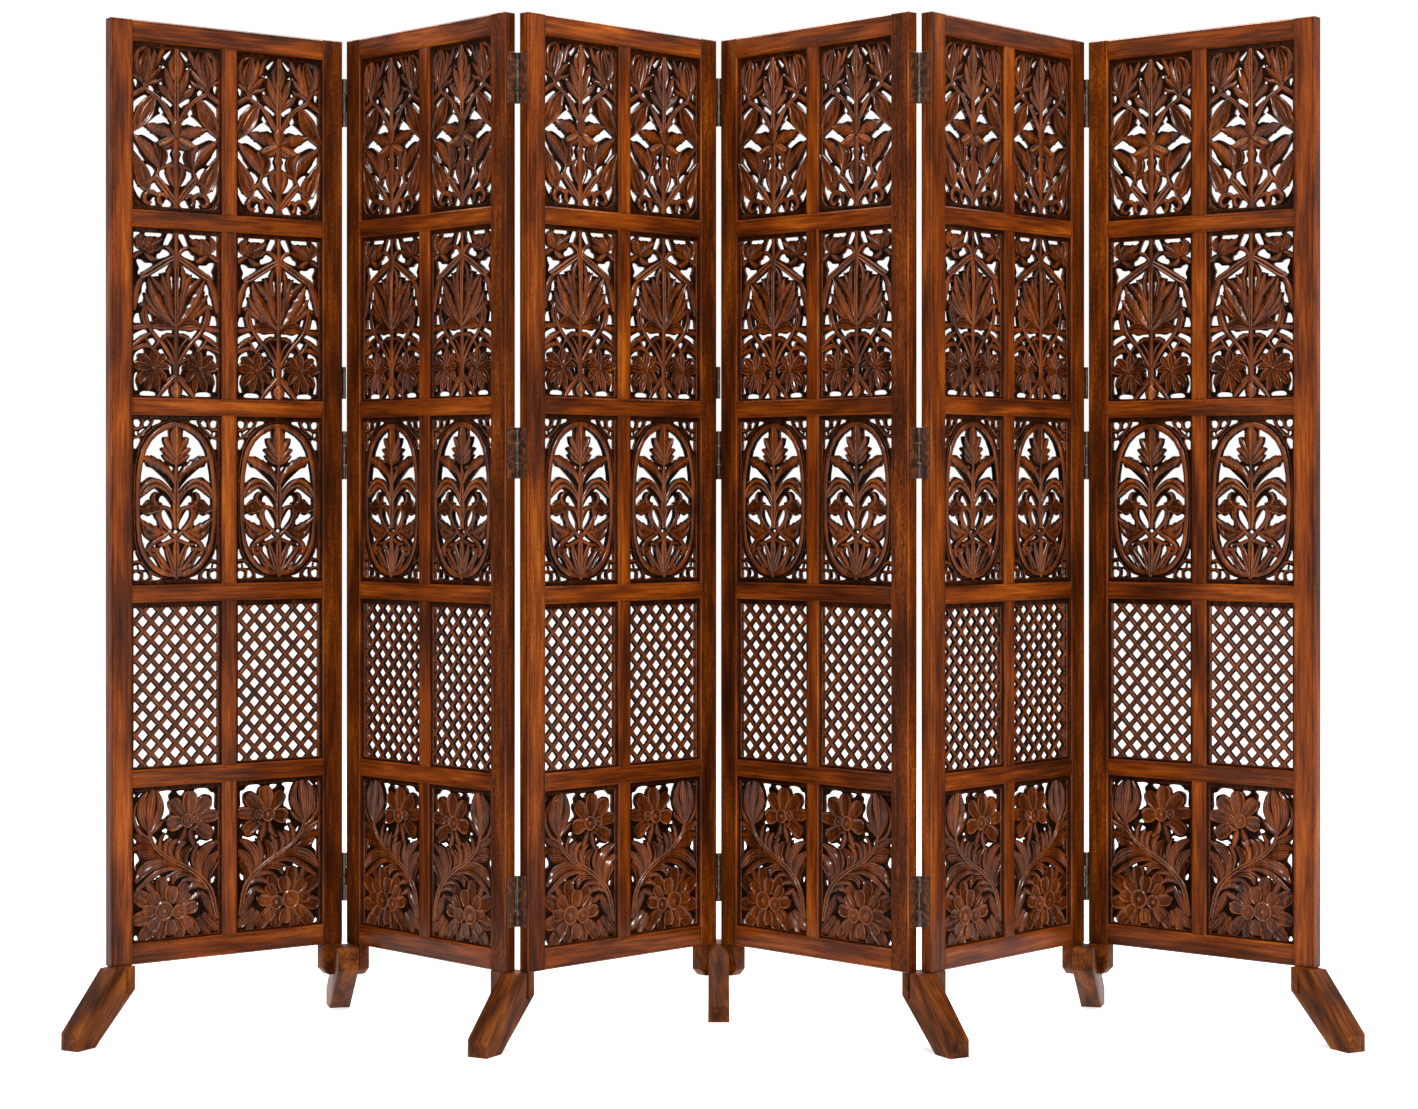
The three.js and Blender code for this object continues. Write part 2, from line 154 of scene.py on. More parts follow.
def new_material(name, viewport):
    material = bpy.data.materials.new(name)
    material.use_nodes = True
    material.diffuse_color = linear(viewport)
    tree = material.node_tree
    return material, tree, tree.nodes["Principled BSDF"].inputs


print("a mid brown in light values:", [round(v, 3) for v in linear("#7a3d18")[:3]])

# %% [markdown]
# The real screen is stained hardwood under a rubbed polish. Along each bar the stain
# runs from orange brown to nearly black in soft blotches, drawn out along the grain.
# Where the carving is deep its colour is painted dark, as the shade that falls in the
# hollows and the old polish gathered there, and on the ridges the polish is rubbed thin
# and buffed, so they are light and glossy, their light colour partly a painted highlight.
# The buffed polish is the shader's coat, which fades out in the hollows. The finish reads
# facts that every corner of the mesh carries: `grain`, its place along the wood, with z
# along the fibres, `relief`, from 0 in a hollow, past 0.5 on a plain face, to 1 on a worn
# edge, which sets this painted shade and highlight, and `vein`, its place on a leaf:
# along it, across it, and how strongly it is veined.

# %% Stained and polished wood
def grain_noise(tree, place, to_the_metre, stretch, detail):
    """Noise drawn out along the fibres: the bigger the stretch, the longer its streaks."""
    mapped = add_node(tree, "ShaderNodeMapping", {
        "Vector": place, "Scale": (to_the_metre, to_the_metre, to_the_metre / stretch)})
    return add_node(tree, NOISE, {
        "Vector": mapped, "Scale": 1.0, "Detail": detail, "Roughness": 0.55}, output="Fac")


def polished_wood(name, stops, hollow_polish_and_shade, worn, gloss, shine, blotches=(34, 3), veins=0.0):
    """stops: the stain from dark to light. The colour for the hollows is painted shade with old
    polish, and worn is the light colour of edges and ridges, rubbed wear with a painted highlight.
    """
    material, tree, shader = new_material(name, stops[len(stops) // 2][1])
    place = add_node(tree, ATTRIBUTE, output="Vector", attribute_name="grain")
    relief = add_node(tree, ATTRIBUTE, output="Fac", attribute_name="relief")
    blotch = grain_noise(tree, place, *blotches, 2)  # about 30 mm wide
    streak = grain_noise(tree, place, 190, 16, 4)  # 5 mm wide, 80 mm long
    fine = grain_noise(tree, place, 1500, 30, 2)  # the fibres, 0.7 mm wide
    patches = grain_noise(tree, place, 420, 3, 2)  # uneven rubbing, 2 mm wide

    mixed = add_node(tree, MATH, blotch, 0.6, operation="MULTIPLY")
    mixed = add_node(tree, MATH, streak, 0.42, mixed, operation="MULTIPLY_ADD")
    mixed = add_node(tree, MATH, fine, 0.12, mixed, operation="MULTIPLY_ADD")
    mixed = add_node(tree, MATH, mixed, 0.07, operation="SUBTRACT")
    stain = add_node(tree, RAMP, {"Fac": mixed}, stops=stops)
    # relief sets how much of the colour is painted shade: in the hollows it turns to the dark
    # hollow colour, shade together with old polish; the patches make the rubbing uneven
    rubbing_and_shade = add_node(tree, MATH, relief, 0.25, operation="SUBTRACT")
    rubbing_and_shade = add_node(tree, MATH, patches, 0.5, rubbing_and_shade, operation="MULTIPLY_ADD")
    clean_and_unshaded, bare_and_highlit = (add_node(tree, RANGE, {
        "Value": rubbing_and_shade, "From Min": low, "From Max": high}, interpolation_type="SMOOTHSTEP")
        for low, high in ((0.08, 0.52), (0.82, 1.12)))
    colour = add_node(tree, MIX, {0: clean_and_unshaded, 6: linear(hollow_polish_and_shade), 7: stain},
                      output=2, data_type="RGBA")
    # on edges and ridges the colour turns to the light worn one, rubbed wear together with a
    # painted highlight
    tree.links.new(add_node(tree, MIX, {0: bare_and_highlit, 6: colour, 7: linear(worn)},
                            output=2, data_type="RGBA"), shader["Base Color"])

    matt = add_node(tree, MATH, clean_and_unshaded, -0.25, 0.65, operation="MULTIPLY_ADD")
    matt = add_node(tree, MATH, fine, 0.16, matt, operation="MULTIPLY_ADD")
    tree.links.new(matt, shader["Roughness"])
    buffed = add_node(tree, MATH, clean_and_unshaded, shine, operation="MULTIPLY")
    tree.links.new(buffed, shader["Coat Weight"])
    shader["Coat Roughness"].default_value = gloss
    shader["Specular IOR Level"].default_value = 0.06
    shader["Specular Tint"].default_value = linear("#ffd9b4")

    height = add_node(tree, MATH, streak, 2.0, fine, operation="MULTIPLY_ADD")
    normal = add_node(tree, BUMP, {"Height": height, "Strength": 1.0, "Distance": 0.00012})
    if veins:
        leaf = add_node(tree, ATTRIBUTE, output="Vector", attribute_name="vein")
        along, across, share = add_node(tree, "ShaderNodeSeparateXYZ", leaf, output=None)
        slant = add_node(tree, MATH, across, operation="ABSOLUTE")
        slant = add_node(tree, MATH, slant, -1.1, along, operation="MULTIPLY_ADD")
        wave = add_node(tree, MATH, slant, operation="SINE")  # 6 mm from vein to vein
        wave = add_node(tree, MATH, wave, share, operation="MULTIPLY")
        normal = add_node(tree, BUMP, {
            "Height": wave, "Strength": 1.0, "Distance": veins, "Normal": normal})
    tree.links.new(normal, shader["Normal"])
    return material


# in each finish the hollow colour is painted shade with old polish, and the worn colour is rubbed
# wear with a painted highlight
frame_finish = polished_wood(
    "hardwood, planed, stained and rubbed with polish",
    [(0.3, "#210902"), (0.44, "#4c1d03"), (0.56, "#753306"), (0.72, "#a25412")],
    hollow_polish_and_shade="#1a0801", worn="#a0663a", gloss=0.22, shine=0.25, blotches=(24, 6))
carved_finish = polished_wood(
    "hardwood, carved with gouges, stained and polished",
    [(0.28, "#1c0802"), (0.42, "#401903"), (0.56, "#632b07"), (0.72, "#874412")],
    hollow_polish_and_shade="#050100", worn="#a46535", gloss=0.18, shine=0.52, veins=0.0002)
foot_finish = polished_wood(
    "hardwood, sawn and waxed, dulled near the floor",
    [(0.3, "#170801"), (0.43, "#3a1804"), (0.55, "#5e2c09"), (0.7, "#824816")],
    hollow_polish_and_shade="#1c0d07", worn="#93664a", gloss=0.3, shine=0.12, blotches=(34, 4))
print("finishes:", ", ".join(m.name for m in (frame_finish, carved_finish, foot_finish)))

# %% [markdown]
# The hinges are old iron. Their plates have browned with wax and rust until they nearly
# match the wood, and only the knuckles are rubbed to a dark grey sheen by the folding.
# On these pieces `relief` is 1 on the knuckles and 0 on the plates.

# %% Browned iron
iron_finish, tree, shader = new_material(
    "iron, browned with wax and worn at the knuckles", "#3a3632")
place = add_node(tree, "ShaderNodeTexCoord", output="Object")
worn = add_node(tree, ATTRIBUTE, output="Fac", attribute_name="relief")
marks = add_node(tree, NOISE, {"Vector": place, "Scale": 120.0, "Detail": 4.0}, output="Fac")
browned = add_node(tree, RAMP, {"Fac": marks},
                   stops=[(0.32, "#241207"), (0.5, "#46240f"), (0.68, "#6b3a17")])
rubbed = add_node(tree, RAMP, {"Fac": marks}, stops=[(0.3, "#2e2a27"), (0.6, "#5c5650")])
colour = add_node(tree, MIX, {0: worn, 6: browned, 7: rubbed}, output=2, data_type="RGBA")
metal = add_node(tree, MATH, worn, 0.55, 0.4, operation="MULTIPLY_ADD")
matt = add_node(tree, MATH, marks, 0.3, 0.24, operation="MULTIPLY_ADD")
pitted = add_node(tree, BUMP, {"Height": marks, "Strength": 1.0, "Distance": 0.0003})
for name, value in (("Base Color", colour), ("Metallic", metal), ("Roughness", matt),
                    ("Normal", pitted)):
    tree.links.new(value, shader[name])
print("metal finish:", iron_finish.name)

# %% [markdown]
# Every carved board is drawn in millimetres, across from the board's middle and down
# from its top. The real carver cuts leaves, petals and stems out of one plank. Each of
# those is a long shape with a spine, so one helper can make them all: a blade, whose
# spine is a smooth curve through a few points, each with a half width.
# First comes the smooth curve itself. A Catmull-Rom curve is used because it passes
# through its points, so that the numbers in the tables are places on the real carving.

# %% A smooth curve through points
def smooth_curve(points, count, closed=False):
    points = np.asarray(points, float)
    number = len(points)
    if closed:
        around = np.vstack([points[-1:], points, points[:2]])
        spots = np.linspace(0, number, count, endpoint=False)
    else:
        before, after = 2 * points[0] - points[1], 2 * points[-1] - points[-2]
        around = np.vstack([before, points, after])
        spots = np.linspace(0, number - 1, count)
    whole = np.minimum(spots.astype(int), number - 1 if closed else number - 2)
    part = (spots - whole)[:, None]
    a, b, c, d = (around[whole + k] for k in range(4))
    return 0.5 * (2 * b + (c - a) * part + (2 * a - 5 * b + 4 * c - d) * part**2
                  + (3 * b - a - 3 * c + d) * part**3)


print("halfway along a right angle:", smooth_curve([(0, 0), (1, 0), (1, 1)], 5)[2])

# %% [markdown]
# A blade's section says how its face rises from the edge to the middle and back. The
# carving on the real boards has a handful of them: leaves with a ridge down the middle,
# leaves with a raised rim round a hollow, petals with flutes, and round or grooved
# stems. Each is a list of (place across, height), both as shares.

# %% Sections of the carved shapes
SECTIONS = {
    "ridge": [(-1, 0), (-0.82, 0.34), (-0.4, 0.5), (0, 1), (0.4, 0.5), (0.82, 0.34), (1, 0)],
    "rim": [(-1, 0.3), (-0.8, 0.85), (-0.5, 0.25), (-0.14, 0.3), (0, 0.95), (0.14, 0.3),
            (0.5, 0.25), (0.8, 0.85), (1, 0.3)],
    "round": [(-1, 0), (-0.75, 0.6), (-0.35, 0.93), (0, 1), (0.35, 0.93), (0.75, 0.6), (1, 0)],
    "groove": [(-1, 0), (-0.8, 0.7), (-0.45, 1), (-0.1, 0.25), (0.1, 0.25), (0.45, 1),
               (0.8, 0.7), (1, 0)],
    "flutes": [(-1, 0), (-0.82, 0.62), (-0.55, 0.3), (-0.28, 0.92), (0, 0.42), (0.28, 1),
               (0.55, 0.36), (0.82, 0.7), (1, 0)],
    "cup": [(-1, 0.2), (-0.94, 0.9), (-0.84, 1), (-0.68, 0.46), (-0.3, 0.36), (0, 0.5),
            (0.3, 0.36), (0.68, 0.46), (0.84, 1), (0.94, 0.9), (1, 0.2)],
    "bead": [(-1, 0), (-0.7, 0.75), (0, 1), (0.7, 0.75), (1, 0)],
}
print("sections:", ", ".join(SECTIONS))

# %% [markdown]
# Meshes are gathered in one place before they become Blender objects, because a board is
# many small closed shapes. Three facts are kept with every corner for the finish to
# read: where it lies along and across the wood's own grain, how high it stands in the
# relief, which sets its painted shade in hollows and its light colour on edges, and where
# it lies on its leaf, for the veins. Millimetres become metres here.

# %% A pile of closed shapes that becomes one mesh
class Pile:
    def __init__(self):
        self.corners, self.grain, self.relief, self.vein, self.faces = [], [], [], [], []
        self.count = 0

    def add(self, corners, faces, relief, grain=None, vein=(0, 0, 0)):
        corners = np.asarray(corners, float)
        self.corners.append(corners)
        self.grain.append(corners if grain is None else grain)
        self.relief.append(np.broadcast_to(relief, len(corners)))
        self.vein.append(np.broadcast_to(vein, (len(corners), 3)))
        self.faces += [tuple(i + self.count for i in face) for face in faces]
        self.count += len(corners)

    def arrays(self):
        return (np.vstack(self.corners), np.vstack(self.grain),
                np.concatenate(self.relief), np.vstack(self.vein))

    def take(self, other, shift=(0, 0, 0), grain_shift=(0, 0, 0)):
        corners, grain, relief, vein = other.arrays()
        self.add(corners + shift, other.faces, relief, grain + grain_shift, vein)

    def mirrored(self):
        """The same shapes, left for right, with every face turned back outwards."""
        other, flip = Pile(), (-1, 1, 1)
        corners, grain, relief, vein = self.arrays()
        other.add(corners * flip, [face[::-1] for face in self.faces], relief, grain * flip, vein)
        return other


print("facts kept with every corner: grain, relief, vein")

# %% [markdown]
# A blade is swept along its spine. Its section is laid across at every station, and the
# faces between the stations are filled in. Its back is the mirror image of its front, so
# that a blade is closed and shows on both sides of the board. Teeth are a saw's edge
# laid on the half width.

# %% A blade: leaf, petal, stem or scroll
STATION_GAP, FEWEST_STATIONS, MOST_STATIONS = 6, 7, 18
NARROWEST, SHALLOWEST, DEEPEST = 0.4, 0.5, 3.4
TOOTH = 0.16  # a tooth's height, as a share of the half width
LOW_CREST, CREST_RANGE = 5.2, 1.8  # lower crests are painted darker, as shade on the layers behind, where old polish also gathers


def blade(pile, kind, level, spine, teeth=0):
    spine = np.asarray(spine, float)
    length = np.hypot(*np.diff(spine[:, :2], axis=0).T).sum()
    stations = int(np.clip(length / STATION_GAP, FEWEST_STATIONS, MOST_STATIONS)) + 2 * teeth
    path = smooth_curve(spine, stations)
    middle, half = path[:, :2], np.maximum(path[:, 2], NARROWEST)
    along = np.gradient(middle, axis=0)
    along /= np.hypot(*along.T)[:, None]
    side = np.stack([-along[:, 1], along[:, 0]], axis=1)
    share = np.linspace(0, 1, stations)
    if teeth:  # they point to the tip, and the root and the tip have none
        saw = (share * teeth) % 1
        half = half * (1 + TOOTH * (2 * saw - 1) * (share > 0.12) * (share < 0.97))
    depth = np.clip(0.5 * half, SHALLOWEST, DEEPEST)
    run = np.concatenate([[0], np.cumsum(np.hypot(*np.diff(middle, axis=0).T))])
    corners, relief, vein = [], [], []
    section = SECTIONS[kind]
    veined = kind == "ridge"
    # the colour from relief is painted shade: blades set lower in the board are darker, as shade
    # on the layers behind, where old polish also gathers, and round stems are a little darker
    # still; along each section the hollows and narrow parts are darker and the crests lighter
    level_shade = 0.74 + 0.26 * np.clip((level - LOW_CREST) / CREST_RANGE, 0, 1)
    level_shade *= 0.8 if kind == "round" else 1
    for k in range(stations):
        for across, height in section:
            x, down = middle[k] + side[k] * across * half[k]
            corners.append((x, level - depth[k] * (1 - height), -down))
            relief.append(level_shade * height * min(1, depth[k] / 2))
            vein.append((run[k], across * half[k], veined * min(1, half[k] / 9)))
    front = len(corners)
    wide = len(section)
    corners = np.array(corners)
    back = corners * (1, -1, 1)
    faces = []
    for k in range(stations - 1):
        for j in range(wide - 1):
            a, b = k * wide + j, k * wide + j + 1
            c, d = b + wide, a + wide
            faces += [(a, b, c, d), (front + d, front + c, front + b, front + a)]
        for j, turn in ((0, 1), (wide - 1, -1)):
            a, d = k * wide + j, (k + 1) * wide + j
            faces.append((a, d, front + d, front + a)[::turn])
    for k, turn in ((0, -1), (stations - 1, 1)):
        ring = [k * wide + j for j in range(wide)]
        faces.append(tuple(ring + [front + i for i in ring[::-1]])[::turn])
    corners = np.vstack([corners, back])
    corners[:, 1] *= -1  # the front of a board looks to -Y
    pile.add(corners, faces, np.tile(relief, 2), vein=np.tile(vein, (2, 1)))


trial = Pile()
blade(trial, "ridge", 6.0, [(0, 0, 3), (10, 20, 8), (12, 40, 2)])
print("one blade:", trial.count, "corners,", len(trial.faces), "faces")

# %% [markdown]
# Petals have blunt, round tips, so their spines follow one rule and only need a root, a
# tip and a half width. The middle of a flower is a ringed boss, turned like a button.

# %% Petals and bosses
def petal(root_x, root_down, tip_x, tip_down, half):
    widths = [(0, 0.45), (0.3, 0.82), (0.62, 1), (0.88, 0.82), (1, 0.4)]
    return [(root_x + (tip_x - root_x) * share, root_down + (tip_down - root_down) * share,
             half * width) for share, width in widths]


BOSS_PROFILE = [(0, 0.95), (0.2, 0.85), (0.32, 0.3), (0.5, 0.55), (0.68, 0.3), (0.86, 1), (1, 0.5)]
BOSS_DEPTH = 2.6


def boss(pile, x, down, radius, level, sides=20):
    turn = np.linspace(0, 2 * np.pi, sides, endpoint=False)
    corners = [(x, level - BOSS_DEPTH * (1 - BOSS_PROFILE[0][1]), -down)]
    # relief follows the height, so the boss's grooves are painted darker as shade and its rings
    # lighter
    relief = [BOSS_PROFILE[0][1]]
    for out, height in BOSS_PROFILE[1:]:
        for angle in turn:
            corners.append((x + radius * out * np.cos(angle), level - BOSS_DEPTH * (1 - height),
                            -down + radius * out * np.sin(angle)))
            relief.append(height)
    front = len(corners)
    faces = [(0, 1 + (k + 1) % sides, 1 + k) for k in range(sides)]
    for ring in range(len(BOSS_PROFILE) - 2):
        for k in range(sides):
            a, b = 1 + ring * sides + k, 1 + ring * sides + (k + 1) % sides
            faces.append((a, b, b + sides, a + sides))
    faces += [tuple(front + i for i in face[::-1]) for face in faces]
    rim = 1 + (len(BOSS_PROFILE) - 2) * sides
    for k in range(sides):
        a, b = rim + k, rim + (k + 1) % sides
        faces.append((a, b, front + b, front + a))
    corners = np.array(corners)
    corners = np.vstack([corners, corners * (1, -1, 1)])
    corners[:, 1] *= -1
    pile.add(corners, faces, np.tile(relief, 2))


print("a petal's spine starts", [round(v, 2) for v in petal(0, 0, 10, 0, 4)[0]])

# %% [markdown]
# Behind the relief the plank is cut right through. This piercing is what gives the
# screen its see-through look, so each opening is a smooth closed outline at its own
# place, and the plank is one flat shape with holes. Blender can fill such an outline
# with triangles, and the walls and a small bevel are added round every edge.

# %% A flat plank with openings
def outward(outline):
    """How far each corner of a closed outline moves when every side moves out by 1."""
    side = np.roll(outline, -1, axis=0) - outline
    side /= np.maximum(np.hypot(*side.T), 1e-9)[:, None]
    after = np.stack([side[:, 1], -side[:, 0]], axis=1)
    before = np.roll(after, 1, axis=0)
    share = np.maximum(1 + np.sum(after * before, axis=1), 0.5)
    x, y = outline.T
    area = np.sum(x * np.roll(y, -1) - y * np.roll(x, -1))
    return (after + before) / share[:, None] * np.sign(area)


def plank(pile, outer, holes, thick, bevel, relief=(0.1, 0.3)):
    """outer and holes are closed outlines (across, down). relief: on its faces, on its edges."""
    outlines = [(np.asarray(outer, float), -1)] + [(np.asarray(h, float), 1) for h in holes]
    half = thick / 2
    wide = np.vstack([outline for outline, _ in outlines])
    narrow = np.vstack([outline + outward(outline) * way * bevel for outline, way in outlines])
    n = len(wide)
    ends = np.cumsum([len(outline) for outline, _ in outlines])
    flat = [[Vector((x, y, 0)) for x, y in loop] for loop in np.split(narrow, ends[:-1])]
    levels = [(narrow, -half), (wide, bevel - half), (wide, half - bevel), (narrow, half)]
    corners = np.vstack([np.column_stack([p[:, 0], np.full(n, y), -p[:, 1]]) for p, y in levels])
    faces = []
    for a, b, c in geometry.tessellate_polygon(flat):
        p, q, r = narrow[a], narrow[b], narrow[c]
        if (q[0] - p[0]) * (r[1] - p[1]) < (q[1] - p[1]) * (r[0] - p[0]):
            a, c = c, a
        faces += [(a, b, c), (3 * n + c, 3 * n + b, 3 * n + a)]
    start = 0
    for outline, way in outlines:
        x, y = outline.T
        clockwise = np.sum(x * np.roll(y, -1) - y * np.roll(x, -1)) > 0
        for k in range(len(outline)):
            a, b = start + k, start + (k + 1) % len(outline)
            for level in range(3):
                face = (level * n + a, (level + 1) * n + a, (level + 1) * n + b, level * n + b)
                faces.append(face if clockwise == (way < 0) else face[::-1])
        start += len(outline)
    pile.add(corners, faces, np.repeat([relief[0], relief[1], relief[1], relief[0]], n))


def rounded(left, top, right, bottom, radius, steps=6):
    """A rectangle's outline (across, down) with round corners."""
    radius = max(radius, 0.01)
    points = []
    x_in, y_in = (left + radius, right - radius), (top + radius, bottom - radius)
    for quarter, (i, j) in enumerate([(1, 0), (1, 1), (0, 1), (0, 0)]):
        for step in range(steps + 1):
            angle = math.pi / 2 * (quarter - 1 + step / steps)
            points.append((x_in[i] + radius * math.cos(angle), y_in[j] + radius * math.sin(angle)))
    return np.array(points)


print("a square grows at one corner by", outward(np.array([(0.0, 0), (2, 0), (2, 2), (0, 2)]))[0])

# %% [markdown]
# The drawn shapes become a Blender mesh here. Corners are placed in the panel, the panel
# in the room, and the three facts go in as attributes under their own names.

# %% Turn a pile into an object
link_to_scene = bpy.context.scene.collection.objects.link


def new_object(name, corners, faces):
    mesh = bpy.data.meshes.new(name)
    mesh.from_pydata(corners, [], faces)
    return bpy.data.objects.new(name, mesh)


def write_attributes(mesh, grain, relief, vein):
    for name, kind, key, values in (("grain", "FLOAT_VECTOR", "vector", grain),
                                    ("relief", "FLOAT", "value", relief),
                                    ("vein", "FLOAT_VECTOR", "vector", vein)):
        layer = mesh.attributes.new(name, kind, "POINT")
        layer.data.foreach_set(key, np.ascontiguousarray(values, dtype=np.float32).ravel())


def tidy_normals(mesh, sharp_degrees):
    work = bmesh.new()
    work.from_mesh(mesh)
    bmesh.ops.recalc_face_normals(work, faces=work.faces)
    work.to_mesh(mesh)
    work.free()
    mesh.shade_smooth()
    mesh.set_sharp_from_angle(angle=math.radians(sharp_degrees))


def make_piece(name, pile, place, finish, body, stands_for, sharp_degrees=40):
    corners, grain, relief, vein = pile.arrays()
    world = np.array(place)
    corners = corners @ world[:3, :3].T + world[:3, 3]
    piece = new_object(name, corners.tolist(), pile.faces)
    write_attributes(piece.data, grain * MM, relief, vein)
    tidy_normals(piece.data, sharp_degrees)
    piece.data.materials.append(finish)
    link_to_scene(piece)
    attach(piece, body)
    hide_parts(*stands_for)


# %% [markdown]
# A bar of the frame is a plain block with its edges planed off by a millimetre or two. Each
# edge gets a light line, rubbed wear together with a painted highlight, and beside it a
# darker band, old polish together with painted shade, so every face has three rings of
# corners: its edge, the dark band and the plain middle. The grain runs along the longest
# side, and every bar starts at its own place in the wood, so that no two look alike.

# %% A planed bar
def random_spot(seed, reach):
    """A place somewhere in the wood, the same one for the same seed."""
    dice = random.Random(seed)
    return [dice.uniform(-reach, reach) for _ in range(3)]


# reliefs: the edge line (wear with a painted highlight), the dark band (old polish with painted
# shade) and the middle of each face
def bar(pile, low, high, edge=1.6, band=9.0, seed=0, reliefs=(0.68, 0.27, 0.5)):
    low, high = np.array(low, float), np.array(high, float)
    middle, half = (low + high) / 2, (high - low) / 2
    band = min(band, 0.35 * half[half > 2 * edge].min())
    insets = (edge, edge + 0.25 * band, edge + band)
    fibre = int(np.argmax(half))
    order = [k for k in range(3) if k != fibre] + [fibre]
    corners, relief, spot, faces = [], [], {}, []

    def corner(axis, signs, ring=0):
        key = (axis, signs, ring)
        if key not in spot:
            reach = [half[k] if k == axis else half[k] - insets[ring] for k in range(3)]
            spot[key] = len(corners)
            corners.append(middle + np.array(signs) * reach)
            relief.append(reliefs[ring])
        return spot[key]

    for axis in range(3):
        for sign in (-1, 1):
            loop = [list(ways) for ways in ((-1, -1), (1, -1), (1, 1), (-1, 1))]
            for ways in loop:
                ways.insert(axis, sign)
            rings = [[corner(axis, tuple(ways), ring) for ways in loop] for ring in range(3)]
            faces.append(rings[2])
            for outer, inner in zip(rings, rings[1:]):
                faces += [(outer[k], outer[k - 3], inner[k - 3], inner[k]) for k in range(4)]
    eight = [(x, y, z) for x in (-1, 1) for y in (-1, 1) for z in (-1, 1)]
    faces += [tuple(corner(axis, signs) for axis in range(3)) for signs in eight]
    for third in range(3):
        a, b = [k for k in range(3) if k != third]
        for signs in (signs for signs in eight if signs[third] < 0):
            far = tuple(1 if k == third else signs[k] for k in range(3))
            faces.append((corner(a, signs), corner(a, far), corner(b, far), corner(b, signs)))
    pile.add(corners, faces, relief, np.array(corners)[:, order] + random_spot(seed, 900))


test = Pile()
bar(test, (0, 0, 0), (45, 25, 1829))
print("one bar:", test.count, "corners,", len(test.faces), "faces")

# %% [markdown]
# Each panel has two tall uprights. Six rails run between them, and a short upright, a
# muntin, stands between every two rails. Their ends run a little way into each other, as
# tenons do, so that a joint shows only as a fine line. The uprights beside the folds are
# darker, a darker stain together with painted shade from the folds; the left uprights of
# the third and fifth panels, which face the key lamp, are less dark, and the two outer
# uprights and the middle of each panel are lighter.

# %% Uprights, rails and muntins
TENON = 3
# darker uprights at the folds: a darker stain together with painted shade
stain_and_fold_shade = {(k, side): 0.31 for k in PANELS for side in ("left", "right")}
stain_and_fold_shade |= {(1, "left"): 0.5, (6, "right"): 0.5, (3, "left"): 0.4, (5, "left"): 0.4}
for k in PANELS:
    for side, x in (("left", 0), ("right", PANEL_WIDTH - UPRIGHT_WIDTH)):
        upright = Pile()
        bar(upright, (x, 0, 0), (x + UPRIGHT_WIDTH, PANEL_THICK, panel_height),
            seed=f"{k} {side}", reliefs=(0.68, 0.25, stain_and_fold_shade[k, side]))
        make_piece(f"panel_{k}_{side}_upright", upright, places[k], frame_finish,
                   f"panel_{k}", [f"panel_{k}_{side}_stile"], 30)
    rails = Pile()
    x_low, x_high = UPRIGHT_WIDTH, PANEL_WIDTH - UPRIGHT_WIDTH
    muntin_low = (PANEL_WIDTH - MUNTIN_WIDTH) / 2
    rail_tops = [panel_height] + [top - height for top, height in zip(row_tops, ROW_HEIGHTS)]
    rail_lows = row_tops + [0]
    for n, (low, top) in enumerate(zip(rail_lows, rail_tops)):
        bar(rails, (x_low - TENON, 0.1, low), (x_high + TENON, PANEL_THICK - 0.1, top), 3.0,
            seed=f"{k} rail {n}")
    for n, (top, height) in enumerate(zip(row_tops, ROW_HEIGHTS)):
        bar(rails, (muntin_low, 0.8, top - height - TENON),
            (muntin_low + MUNTIN_WIDTH, PANEL_THICK - 0.8, top + TENON), 2.0,
            seed=f"{k} muntin {n}")
    make_piece(f"panel_{k}_rails", rails, places[k], frame_finish, f"panel_{k}",
               [f"panel_{k}_carved_grille"], 30)
print("bars placed for", len(PANELS), "panels")

# %% [markdown]
# The four carved designs are tables of places in millimetres. In `holes` each line is an
# opening, written as across,down for every corner of its outline. In the other tables
# each line is one blade: its section, how high its crest stands above the board's
# middle, its spine as across,down,half width, and the number of teeth after an x. A
# petal needs five numbers only: the place of its root and of its tip, and a half width.
# `pairs` are drawn for the right half of a board and mirrored.

# %% Reading a drawing
def read_spots(words):
    return [tuple(float(number) for number in word.split(",")) for word in words]


def read_blade(line):
    section, level, *words = line.split()
    teeth = int(words.pop()[1:]) if words[-1].startswith("x") else 0
    spine = read_spots(words)
    return section, float(level), petal(*spine[0]) if len(spine) == 1 else spine, teeth


print("one blade:", read_blade("ridge 6.4 2,180,4 18,172,11 66,160,2 x7"))

# %% [markdown]
# The board of the top row is an upright plant. A fan of petals ends its stem, with a
# tulip bud in each upper corner, a broad hollow leaf on each side, and scrolls below.

